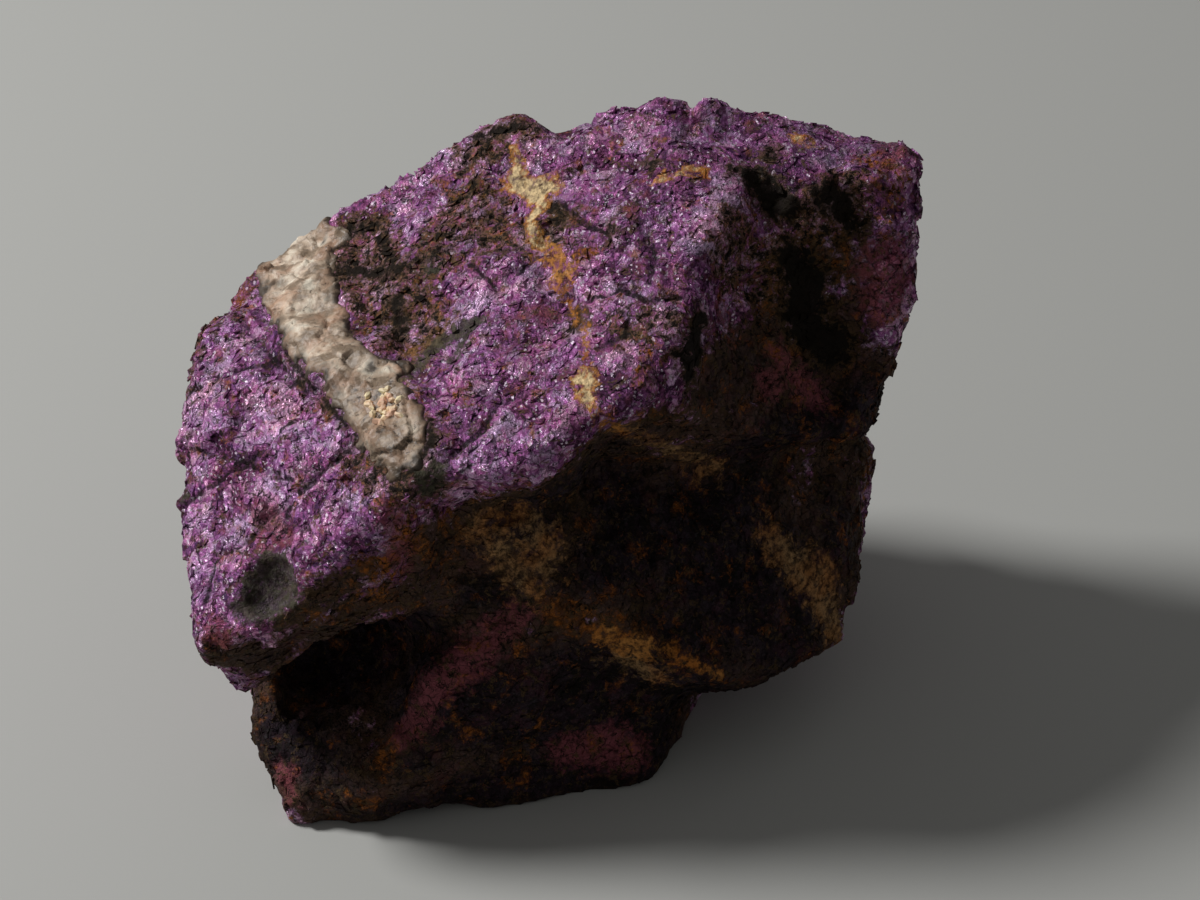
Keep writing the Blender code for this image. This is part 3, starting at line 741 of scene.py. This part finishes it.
def phosphate_ground(tree):
    """The places and noises that the layers of the phosphate share."""
    spot = spot_in_millimetres(tree)
    sway = sway_of(tree, spot, Scale=1.3, Detail=3.0, Roughness=0.62)
    bent = pushed(tree, spot, sway, 0.6)
    # drawn out along Y, as the grains are
    drawn = pushed(tree, spot, sway, 0.22)
    drawn = put(tree, VECTOR, {0: drawn, 1: (1.0, 0.6, 1.0)}, operation="MULTIPLY")
    bits = put(tree, NOISE, {"Vector": drawn, "Scale": 2.8, "Detail": 4.0, "Roughness": 0.65})
    frays = put(tree, NOISE, {"Vector": bent, "Scale": 1.2, "Detail": 5.0, "Roughness": 0.7})
    frays = put(tree, MATH, {0: frays, 1: 0.5}, operation="SUBTRACT")
    shown = put(tree, REMAP, {0: bits, 1: 0.42, 2: 0.56, 3: 0.2})
    return Ground(spot, sway, bent, drawn, bits, frays, shown)


def edge(tree, ground, name, fray, soft, strength=1.0, grow=0.0):
    """How much of a mark covers the surface, with its border broken up."""
    field = put(tree, FIELD, out="Fac", attribute_name=name)
    frayed = put(tree, MATH, {0: ground.frays, 1: fray, 2: field}, operation="MULTIPLY_ADD")
    return put(tree, REMAP, {0: frayed, 1: -soft - grow, 2: soft - grow, 4: strength},
               interpolation_type="SMOOTHSTEP")


def grain_tone(tree, ground, grains, across):
    """Brightness of each grain, a little lower towards the right."""
    tone = put(tree, MATH, {0: ground.bits, 1: 0.5}, operation="MULTIPLY")
    broad = put(tree, NOISE, {"Vector": ground.spot, "Scale": 0.25, "Detail": 1.0})
    broad = put(tree, MATH, {0: broad, 1: 0.5}, operation="SUBTRACT")
    tone = put(tree, MATH, {0: broad, 1: 0.3, 2: tone}, operation="MULTIPLY_ADD")
    fade = put(tree, REMAP, {0: across, 1: -12.0, 2: 4.0, 4: -0.03})
    tone = put(tree, MATH, {0: tone, 1: fade}, operation="ADD")
    for draw, share in zip(grains, (0.24, 0.17, 0.09)):
        level = put(tree, "ShaderNodeSeparateColor", {0: draw})
        tone = put(tree, MATH, {0: level, 1: share, 2: tone}, operation="MULTIPLY_ADD")
    return tone


def clean_purple(tree, ground, grains, tone, across, cloud, colours):
    """Clean phosphate: deep purple to lilac, redder or bluer in clouds, with painted near-white highlights on
    a few specks.
    """
    grain, speck = grains[1:]
    ramp = put(tree, "ShaderNodeValToRGB", {0: tone})
    stops = ramp.node.color_ramp.elements
    stops[0].position, stops[0].color = 0.32, colours.purple_deep
    stops[1].position, stops[1].color = 0.64, colours.lilac
    stops.new(0.47).color = colours.purple
    cast = over(tree, (1.12, 0.95, 0.94, 1.0), cloud, (0.92, 1.0, 1.1, 1.0))
    colour = put(tree, VECTOR, {0: ramp, 1: cast}, operation="MULTIPLY")
    # violet grains, and violet towards the high right end
    fleck = put(tree, "ShaderNodeSeparateColor", {0: grain}, out="Blue")
    blue = put(tree, REMAP, {0: across, 1: -10.0, 2: 0.0, 3: 0.26, 4: 0.08})
    fleck = put(tree, REMAP, {0: fleck, 1: 0.5, 2: 0.9, 4: blue})
    colour = over(tree, colour, fleck, colours.violet)
    far = put(tree, REMAP, {0: across, 1: 2.0, 2: 18.0, 4: 0.07})
    colour = over(tree, colour, far, colours.violet)
    # painted highlights: a few random specks get the near-white highlight colour
    flash = put(tree, "ShaderNodeSeparateColor", {0: speck}, out="Green")
    flash = put(tree, MATH, {0: ground.bits, 1: 0.5, 2: flash}, operation="MULTIPLY_ADD")
    flash = put(tree, REMAP, {0: flash, 1: 1.18, 2: 1.21, 4: 0.9})
    return over(tree, colour, flash, colours.painted_glint)


def dark_lines(tree, ground):
    """Dark gaps between plates, thin seams between grains, healed cracks, and the named cracks."""
    gap = put(tree, CELLS, {"Vector": ground.bent, "Scale": 1 / 1.3}, feature="DISTANCE_TO_EDGE")
    gap = put(tree, REMAP, {0: gap, 1: 0.015, 2: 0.07, 3: 1.0, 4: 0.0})
    seam = put(tree, CELLS, {"Vector": ground.drawn, "Scale": 1 / 0.36}, feature="DISTANCE_TO_EDGE")
    seam = put(tree, REMAP, {0: seam, 2: 0.12, 3: 0.7, 4: 0.0})
    gap = put(tree, MATH, {0: most(tree, gap, seam), 1: ground.shown}, operation="MULTIPLY")
    gap = put(tree, MATH, {0: gap, 1: 0.85}, operation="MULTIPLY")
    wild = pushed(tree, ground.spot, ground.sway, 2.6)
    net = put(tree, CELLS, {"Vector": wild, "Scale": 0.45}, feature="DISTANCE_TO_EDGE")
    net = put(tree, REMAP, {0: net, 1: 0.01, 2: 0.05, 3: 1.0, 4: 0.0})
    net = put(tree, MATH, {0: net, 1: ground.shown}, operation="MULTIPLY")
    side = put(tree, FIELD, out="Fac", attribute_name="crack_side")
    side = put(tree, MATH, {0: ground.frays, 1: 0.8, 2: side}, operation="MULTIPLY_ADD")
    side = put(tree, MATH, {0: side}, operation="ABSOLUTE")
    side = put(tree, REMAP, {0: side, 1: 0.1, 2: 0.26, 3: 0.95, 4: 0.0})
    near = put(tree, FIELD, out="Fac", attribute_name="crack_near")
    near = put(tree, REMAP, {0: near, 1: 0.3, 2: 0.5, 3: 1.0, 4: 0.0})
    crack = put(tree, MATH, {0: side, 1: near}, operation="MULTIPLY")
    broken = put(tree, REMAP, {0: ground.shown, 1: 0.2, 2: 0.7, 3: 0.65})
    crack = put(tree, MATH, {0: crack, 1: broken}, operation="MULTIPLY")
    return most(tree, gap, net, crack)


def stained(tree, ground, colour, colours):
    """The colour under its dark matrix and painted shade, red blush, rust and black oxide, and how dull they
    make it.
    """
    # dark matrix over the front, lower and overhung faces, black oxide that is also painted shade: umber at
    # its rim, near black where it lies deep
    oxide_shade_depth = put(tree, FIELD, out="Fac", attribute_name="oxide_and_shade")
    oxide_shade_depth = put(tree, MATH, {0: ground.frays, 1: 5.0, 2: oxide_shade_depth}, operation="MULTIPLY_ADD")
    oxide_shade_depth = put(tree, REMAP, {0: oxide_shade_depth, 1: 0.4, 2: 2.8})
    dull = edge(tree, ground, "oxide_and_shade", 5.0, 0.6, 0.97)
    colour = over(tree, colour, dull, over(tree, colours.umber, oxide_shade_depth, colours.oxide_and_shade))
    # reddish phosphate at the named marks, and as a blush where the stone is clean
    blush = put(tree, NOISE, {"Vector": ground.bent, "Scale": 0.45, "Detail": 2.0, "Roughness": 0.6})
    blush = put(tree, REMAP, {0: blush, 1: 0.53, 2: 0.7, 4: 0.5})
    clean = put(tree, REMAP, {0: dull, 3: 1.0, 4: 0.25})
    blush = put(tree, MATH, {0: blush, 1: clean}, operation="MULTIPLY")
    blush = most(tree, edge(tree, ground, "rosy", 4.0, 0.7, 0.8), blush)
    colour = over(tree, colour, blush, colours.rosy)
    # rust in loose clouds and round the named stains
    dirt = edge(tree, ground, "dirty", 2.5, 1.0)
    rust = put(tree, NOISE, {"Vector": ground.bent, "Scale": 0.6, "Detail": 5.0, "Roughness": 0.72})
    rust = put(tree, MATH, {0: dirt, 1: 0.17, 2: rust}, operation="MULTIPLY_ADD")
    rust = put(tree, REMAP, {0: rust, 1: 0.555, 2: 0.64, 4: 0.85})
    rust = most(tree, edge(tree, ground, "rust", 3.6, 0.4), rust)
    rust = put(tree, MATH, {0: rust, 1: ground.shown}, operation="MULTIPLY")
    stain = put(tree, REMAP, {0: ground.frays, 1: -0.14, 2: 0.08})
    colour = over(tree, colour, rust, over(tree, colours.umber, stain, colours.rust))
    # black oxide with a brown rim, more where the stone is dirty
    grime = put(tree, NOISE, {"Vector": ground.bent, "Scale": 1.5, "Detail": 4.0, "Roughness": 0.76})
    grime = put(tree, MATH, {0: dirt, 1: 0.12, 2: grime}, operation="MULTIPLY_ADD")
    brown = put(tree, REMAP, {0: grime, 1: 0.55, 2: 0.61, 4: 0.8})
    brown = most(tree, edge(tree, ground, "black", 3.4, 0.4, 0.85, 0.3), brown)
    colour = over(tree, colour, brown, over(tree, colours.umber, clean, colours.loam))
    black = put(tree, REMAP, {0: grime, 1: 0.64, 2: 0.685, 4: 0.95})
    black = most(tree, black, edge(tree, ground, "black", 3.4, 0.3, 0.95), dark_lines(tree, ground))
    colour = over(tree, colour, black, colours.oxide_and_shade)
    return colour, most(tree, dull, rust, brown, black)


def veined(tree, ground, colour, dull, cloud, colours):
    """The colour under its veins, each over the one before, and how dull they make it."""
    mottle = put(tree, REMAP, {0: ground.bits, 1: 0.36, 2: 0.62, 3: 0.4, 4: 1.4})
    for name, fray, soft, grow, paint, least, rusty in (
            ("beige", 7.0, 0.9, 0.0, colours.beige, 0.4, 0.5),
            ("slate", 3.2, 0.3, 0.0, colours.slate, 1.0, 0.0),
            ("ochre", 3.6, 0.3, 0.0, colours.ochre, 0.3, 0.9),
            ("cream", 2.6, 0.2, 0.25, colours.ochre, 0.5, 0.5),
            ("cream", 2.4, 0.2, -0.1, colours.cream, 0.8, 0.0)):
        cover = edge(tree, ground, name, fray, soft, 0.9, grow)
        patchy = put(tree, REMAP, {0: ground.bits, 1: 0.38, 2: 0.5, 3: least})
        cover = put(tree, MATH, {0: cover, 1: patchy}, operation="MULTIPLY")
        tint = put(tree, MATH, {0: cloud, 1: rusty}, operation="MULTIPLY")
        tint = over(tree, paint, tint, colours.rust)
        tint = put(tree, VECTOR, {0: tint, "Scale": mottle}, operation="SCALE")
        colour = over(tree, colour, cover, tint)
        dull = most(tree, dull, cover)
    return colour, dull


def phosphate_material(colours):
    """Purpurite: a granular, weathered manganese phosphate.

    Its broken grains are purple cleavage plates of about 0.4 mm with a satin, half metallic
    shine, so neighbours flash or go dark. Oxides stain it black and rust brown; the black oxide
    over the front, lower and overhung faces is also painted shade, and a few specks carry painted
    near-white highlights.
    """
    material, tree, surface = fresh_material("purpurite_phosphate")
    ground = phosphate_ground(tree)
    # cleavage plates of 1.3 mm, their grains of 0.36 mm, and specks of 0.15 mm
    grains = [put(tree, CELLS, {"Vector": where, "Scale": 1 / size}, out="Color")
              for size, where in ((1.3, ground.bent), (0.36, ground.drawn), (0.15, ground.drawn))]
    across = put(tree, "ShaderNodeSeparateXYZ", {0: ground.spot})
    tone = grain_tone(tree, ground, grains, across)
    cloud = put(tree, NOISE, {"Vector": ground.bent, "Scale": 0.45, "Detail": 3.0})
    cloud = put(tree, REMAP, {0: cloud, 1: 0.38, 2: 0.62})
    colour = clean_purple(tree, ground, grains, tone, across, cloud, colours)
    colour, dull = stained(tree, ground, colour, colours)
    colour, dull = veined(tree, ground, colour, dull, cloud, colours)
    tree.links.new(colour, surface["Base Color"])
    shine = put(tree, REMAP, {0: dull, 2: 0.8, 3: 0.36, 4: 0.0})
    tree.links.new(shine, surface["Metallic"])
    gloss = put(tree, REMAP, {0: tone, 1: 0.36, 2: 0.58, 3: 0.48, 4: 0.22})
    gloss = put(tree, "ShaderNodeMix", {0: dull, 2: gloss, 3: 0.7})
    tree.links.new(gloss, surface["Roughness"])
    surface["IOR"].default_value = 1.6
    surface["Specular IOR Level"].default_value = 0.07
    # each grain leans its own way, and the dull crusts lean less
    calm = put(tree, REMAP, {0: dull, 3: 1.0, 4: 0.5})
    lean = lean_of(tree, zip(grains, (0.75, 0.55, 0.4)))
    lean = put(tree, VECTOR, {0: lean, "Scale": calm}, operation="SCALE")
    rough = {"Vector": ground.spot, "Scale": 3.0, "Detail": 3.0, "Roughness": 0.68}
    turn_grains(tree, surface, lean, rough, 0.9, 0.25)
    return material


def quartz_material(colours):
    """Milky quartz: glassy crystals with cloudy white hearts, warmed by iron along their joints."""
    material, tree, surface = fresh_material("milky_quartz")
    spot = spot_in_millimetres(tree)
    bent = pushed(tree, spot, sway_of(tree, spot, Scale=1.1, Detail=4.0), 0.7)
    # crystals of 1.4 mm split into chips of 0.45 mm
    tone = put(tree, NOISE, {"Vector": bent, "Scale": 0.7, "Detail": 5.0, "Roughness": 0.58})
    draws = []
    for size, share, weight in ((1.4, 0.4, 0.12), (0.45, 0.25, 0.08)):
        cell = put(tree, CELLS, {"Vector": bent, "Scale": 1 / size}, out="Color")
        level = put(tree, "ShaderNodeSeparateColor", {0: cell})
        tone = put(tree, MATH, {0: level, 1: weight, 2: tone}, operation="MULTIPLY_ADD")
        draws.append((cell, share))
    smoky = put(tree, FIELD, out="Fac", attribute_name="dirty")
    smoky = put(tree, REMAP, {0: smoky, 1: -0.5, 2: 1.2})
    tone = put(tree, MATH, {0: smoky, 1: -0.15, 2: tone}, operation="MULTIPLY_ADD")
    ramp = put(tree, "ShaderNodeValToRGB", {0: tone})
    stops = ramp.node.color_ramp.elements
    stops[0].position, stops[0].color = 0.5, colours.quartz_smoky
    stops[1].position, stops[1].color = 0.75, colours.quartz_white
    stops.new(0.62).color = colours.quartz
    warm = put(tree, NOISE, {"Vector": bent, "Scale": 0.4, "Detail": 5.0, "Roughness": 0.65})
    warm = put(tree, REMAP, {0: warm, 1: 0.47, 2: 0.62, 4: 0.5})
    colour = over(tree, ramp, warm, colours.quartz_warm)
    grey = put(tree, MATH, {0: smoky, 1: 0.4}, operation="MULTIPLY")
    colour = over(tree, colour, grey, colours.quartz_smoky)
    # dirt in the joints, in patches, at the slate marks and along the band's rim
    joint = put(tree, CELLS, {"Vector": bent, "Scale": 1 / 1.4}, feature="DISTANCE_TO_EDGE")
    joint = put(tree, REMAP, {0: joint, 2: 0.05, 3: 0.3, 4: 0.0})
    dirt = put(tree, NOISE, {"Vector": bent, "Scale": 1.5, "Detail": 6.0, "Roughness": 0.74})
    dirt = put(tree, MATH, {0: smoky, 1: 0.1, 2: dirt}, operation="MULTIPLY_ADD")
    dirt = put(tree, REMAP, {0: dirt, 1: 0.6, 2: 0.67, 4: 0.85})
    stain = put(tree, FIELD, out="Fac", attribute_name="slate")
    stain = put(tree, REMAP, {0: stain, 1: -0.25, 2: 0.25, 4: 0.85})
    rim = put(tree, FIELD, out="Fac", attribute_name="band")
    rim = put(tree, MATH, {0: tone, 1: -2.6, 2: rim}, operation="MULTIPLY_ADD")
    rim = put(tree, REMAP, {0: rim, 1: -1.5, 2: -0.7, 3: 0.95, 4: 0.0})
    colour = over(tree, colour, most(tree, dirt, joint, stain, rim), colours.quartz_joint)
    tree.links.new(colour, surface["Base Color"])
    gloss = put(tree, REMAP, {0: tone, 1: 0.5, 2: 0.75, 3: 0.4, 4: 0.6})
    tree.links.new(gloss, surface["Roughness"])
    surface["IOR"].default_value = 1.544
    rough = {"Vector": spot, "Scale": 3.5, "Detail": 4.0, "Roughness": 0.7}
    turn_grains(tree, surface, lean_of(tree, draws), rough, 0.6, 0.12)
    return material


def grain_material(colours):
    """Kaolin-coated feldspar: rotten cream grains, some of them rosy."""
    material, tree, surface = fresh_material("rotten_feldspar")
    tone = put(tree, NOISE, {"Vector": spot_in_millimetres(tree), "Scale": 0.9, "Detail": 4.0})
    tone = put(tree, REMAP, {0: tone, 1: 0.4, 2: 0.6})
    tree.links.new(over(tree, colours.grain, tone, colours.grain_rosy), surface["Base Color"])
    surface["Roughness"].default_value = 0.55
    return material


def floor_material(colours):
    """Matt painted board: a plain pale floor."""
    material, _, surface = fresh_material("matt_board")
    surface["Base Color"].default_value = colours.floor
    surface["Roughness"].default_value = 0.85
    return material


# Operators


def settings():
    """The scene's settings for this specimen."""
    return bpy.context.scene.purpurite


class PURPURITE_OT_skin(bpy.types.Operator):
    """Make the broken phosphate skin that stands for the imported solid"""

    bl_idname = "purpurite.skin"
    bl_label = "Phosphate Skin"

    def execute(self, context):
        wanted = settings().stone
        piece = solid_copy("phosphate_skin", wanted.grid)
        mesh = piece.data
        points = points_of(mesh)
        band = band_at(points)
        socket = rising(depth_in(points, SOCKET), SOCKET_RIM)
        relief = np.maximum(1.0 - rising(band, BAND_CALM), BAND_RELIEF)
        relief *= 1.0 - SOCKET_SMOOTH * socket
        store(mesh, "relief", relief * rising(points[:, 2], FLOOR_FADE))
        near = sides_of(points, normals_of(mesh), CRACKS)[1]
        lift = -BAND_BED * rising(band, BAND_SINK)
        lift -= CRACK_DEPTH * unit(1.0 - near / CRACK_HALF)
        lift -= SOCKET_DEPTH * socket
        store(mesh, "lift", lift * MM)
        material = phosphate_material(settings().colours)
        run_tree(piece, relief_tree("stone_relief", ("Ledge", "Chip", "Grit")), {
            "Ledge Size": wanted.ledge_size, "Ledge Depth": wanted.ledge_depth,
            "Chip Size": wanted.chip_size, "Chip Depth": wanted.chip_depth,
            "Grit Size": wanted.grit_size, "Grit Depth": wanted.grit_depth,
            "Seed": float(wanted.seed), "Material": material,
        })
        mesh = piece.data
        points = points_of(mesh)
        points[:, 2] = np.maximum(points[:, 2], 0.0)
        move_points(mesh, points)
        for name, chains in MARKS.items():
            store(mesh, name, depth_in(points, chains))
        side, near = sides_of(points, normals_of(mesh), CRACKS)
        store(mesh, "crack_side", side)
        store(mesh, "crack_near", near)
        smooth_shaded(mesh)
        give(piece, material, NODE)
        return {"FINISHED"}


class PURPURITE_OT_quartz(bpy.types.Operator):
    """Make the band of milky quartz that crosses the left of the stone"""

    bl_idname = "purpurite.quartz"
    bl_label = "Quartz Band"

    def execute(self, context):
        wanted = settings().quartz
        piece = solid_copy("quartz_band", settings().stone.grid)
        mesh = piece.data
        work = bmesh.new()
        work.from_mesh(mesh)
        far = [v for v, depth in zip(work.verts, band_at(points_of(mesh))) if depth < BAND_EDGE]
        bmesh.ops.delete(work, geom=far, context="VERTS")
        work.to_mesh(mesh)
        work.free()
        points = points_of(mesh)
        rise = rising(band_at(points), BAND_RISE)
        rise = -BAND_ROOT + (BAND_ROOT + wanted.proud / MM) * rise
        move_points(mesh, points + normals_of(mesh) * rise[:, None])
        wall = piece.modifiers.new("wall", "SOLIDIFY")
        wall.thickness = BAND_WALL * MM
        wall.offset = -1.0
        even_out(piece, wanted.grid, BAND_PASSES)
        store(piece.data, "relief", np.ones(len(piece.data.vertices)))
        store(piece.data, "lift", np.zeros(len(piece.data.vertices)))
        material = quartz_material(settings().colours)
        run_tree(piece, relief_tree("quartz_relief", ("Crystal", "Sugar")), {
            "Crystal Size": wanted.crystal_size, "Crystal Depth": wanted.crystal_depth,
            "Sugar Size": wanted.sugar_size, "Sugar Depth": wanted.sugar_depth,
            "Seed": BAND_SEED, "Material": material,
        })
        points = points_of(piece.data)
        for name in ("slate", "dirty"):
            store(piece.data, name, depth_in(points, MARKS[name]))
        store(piece.data, "band", band_at(points))
        smooth_shaded(piece.data)
        give(piece, material)
        return {"FINISHED"}


class PURPURITE_OT_plates(bpy.types.Operator):
    """Sow leaning cleavage plates over the phosphate skin"""

    bl_idname = "purpurite.plates"
    bl_label = "Cleavage Plates"

    def execute(self, context):
        wanted = settings().stone
        skin = bpy.data.objects["phosphate_skin"].data
        piece = add_object("cleavage_plates", skin.copy())
        points = points_of(piece.data)
        # none on the band, the floor, the socket, pale veins, cracks and sharp ridges
        clear = rising(-band_at(points), OFF_BAND)
        clear *= rising(points[:, 2], OFF_FLOOR)
        clear *= depth_in(points, SOCKET + MARKS["cream"] + MARKS["ochre"]) < -VEIN_GAP
        clear *= rising(sides_of(points, normals_of(piece.data), CRACKS)[1], OFF_CRACK)
        clear *= rising(-bends_of(piece.data), OFF_RIDGE)
        store(piece.data, "sown", clear)
        run_tree(piece, sowing_tree("plate_sowing", False), {
            "Density": wanted.plates / MM ** 2, "Smallest": wanted.plate_small, "Largest": wanted.plate_large,
            "Thickness": wanted.plate_thick, "Tilt": wanted.plate_tilt, "Seed": wanted.seed,
            "Material": skin.materials[0],
        })
        give(piece, skin.materials[0])
        return {"FINISHED"}


class PURPURITE_OT_grains(bpy.types.Operator):
    """Sow cream grains where the lower end of the quartz is rotten"""

    bl_idname = "purpurite.grains"
    bl_label = "Loose Grains"

    def execute(self, context):
        wanted = settings().quartz
        piece = add_object("quartz_grains", bpy.data.objects["quartz_band"].data.copy())
        rotten = rising(depth_in(points_of(piece.data), ROTTEN), ROTTEN_EDGE)
        store(piece.data, "sown", rotten * (normals_of(piece.data)[:, 2] > GRAIN_UPRIGHT))
        material = grain_material(settings().colours)
        run_tree(piece, sowing_tree("grain_sowing", True), {
            "Density": wanted.grains / MM ** 2, "Smallest": wanted.grain_small, "Largest": wanted.grain_large,
            "Thickness": wanted.grain_small, "Tilt": GRAIN_TILT, "Seed": GRAIN_SEED, "Material": material,
        })
        give(piece, material)
        return {"FINISHED"}


class PURPURITE_OT_stage(bpy.types.Operator):
    """Set the floor, the soft light and the camera"""

    bl_idname = "purpurite.stage"
    bl_label = "Stage"

    def execute(self, context):
        wanted = settings().stage
        scene = context.scene
        bpy.ops.mesh.primitive_plane_add(size=FLOOR_WIDTH * MM, location=(0, 0, 0))
        floor = context.object
        floor.name = "floor"
        floor.data.materials.append(floor_material(wanted))
        toward = LAMP_SIDE.normalized()
        lamp = bpy.data.lights.new("softbox", "AREA")
        lamp.shape = "DISK"
        lamp.size = LAMP_WIDTH * MM
        lamp.energy = wanted.key
        box = add_object("softbox", lamp)
        box.location = toward * LAMP_PLACE * MM
        box.rotation_euler = toward.to_track_quat("Z", "Y").to_euler()
        world = bpy.data.worlds.new("studio")
        world.use_nodes = True
        world.node_tree.nodes["Background"].inputs["Color"].default_value = (1.0, 1.0, 1.0, 1.0)
        world.node_tree.nodes["Background"].inputs["Strength"].default_value = wanted.fill
        scene.world = world
        lens = bpy.data.cameras.new("camera")
        lens.sensor_width = CAMERA_SENSOR
        lens.lens = CAMERA_LENS
        lens.clip_start = 0.01
        lens.clip_end = 10.0
        eye = add_object("camera", lens)
        eye.location = CAMERA_PLACE * MM
        eye.rotation_euler = (math.radians(CAMERA_TILT), 0.0, 0.0)
        scene.camera = eye
        scene.view_settings.view_transform = "Standard"
        return {"FINISHED"}


class PURPURITE_PT_panel(bpy.types.Panel):
    """The specimen's settings and steps"""

    bl_idname = "PURPURITE_PT_panel"
    bl_label = "Purpurite"
    bl_space_type = "VIEW_3D"
    bl_region_type = "UI"
    bl_category = "Purpurite"

    def draw(self, context):
        layout = self.layout
        for title, group in (("Stone", "stone"), ("Quartz", "quartz"), ("Colours", "colours"),
                             ("Stage", "stage")):
            box = layout.box()
            box.label(text=title)
            held = getattr(context.scene.purpurite, group)
            for name in held.bl_rna.properties.keys():
                if name not in ("rna_type", "name"):
                    box.prop(held, name)
        for step in STEPS:
            layout.operator(step.bl_idname)


class SpecimenSettings(bpy.types.PropertyGroup):
    """All settings of the specimen."""

    stone: PointerProperty(type=StoneSettings)
    quartz: PointerProperty(type=QuartzSettings)
    colours: PointerProperty(type=ColourSettings)
    stage: PointerProperty(type=StageSettings)


STEPS = (PURPURITE_OT_skin, PURPURITE_OT_plates, PURPURITE_OT_quartz, PURPURITE_OT_grains,
         PURPURITE_OT_stage)
CLASSES = (StoneSettings, QuartzSettings, ColourSettings, StageSettings, SpecimenSettings,
           *STEPS, PURPURITE_PT_panel)


def register():
    """Make the settings, steps and panel known."""
    for item in CLASSES:
        bpy.utils.register_class(item)
    bpy.types.Scene.purpurite = PointerProperty(type=SpecimenSettings)


def unregister():
    """Take them away again."""
    del bpy.types.Scene.purpurite
    for item in reversed(CLASSES):
        bpy.utils.unregister_class(item)


def main():
    """Build the specimen and its stage."""
    register()
    bpy.ops.purpurite.skin()
    bpy.ops.purpurite.plates()
    bpy.ops.purpurite.quartz()
    bpy.ops.purpurite.grains()
    bpy.ops.purpurite.stage()


if __name__ == "__main__":
    main()
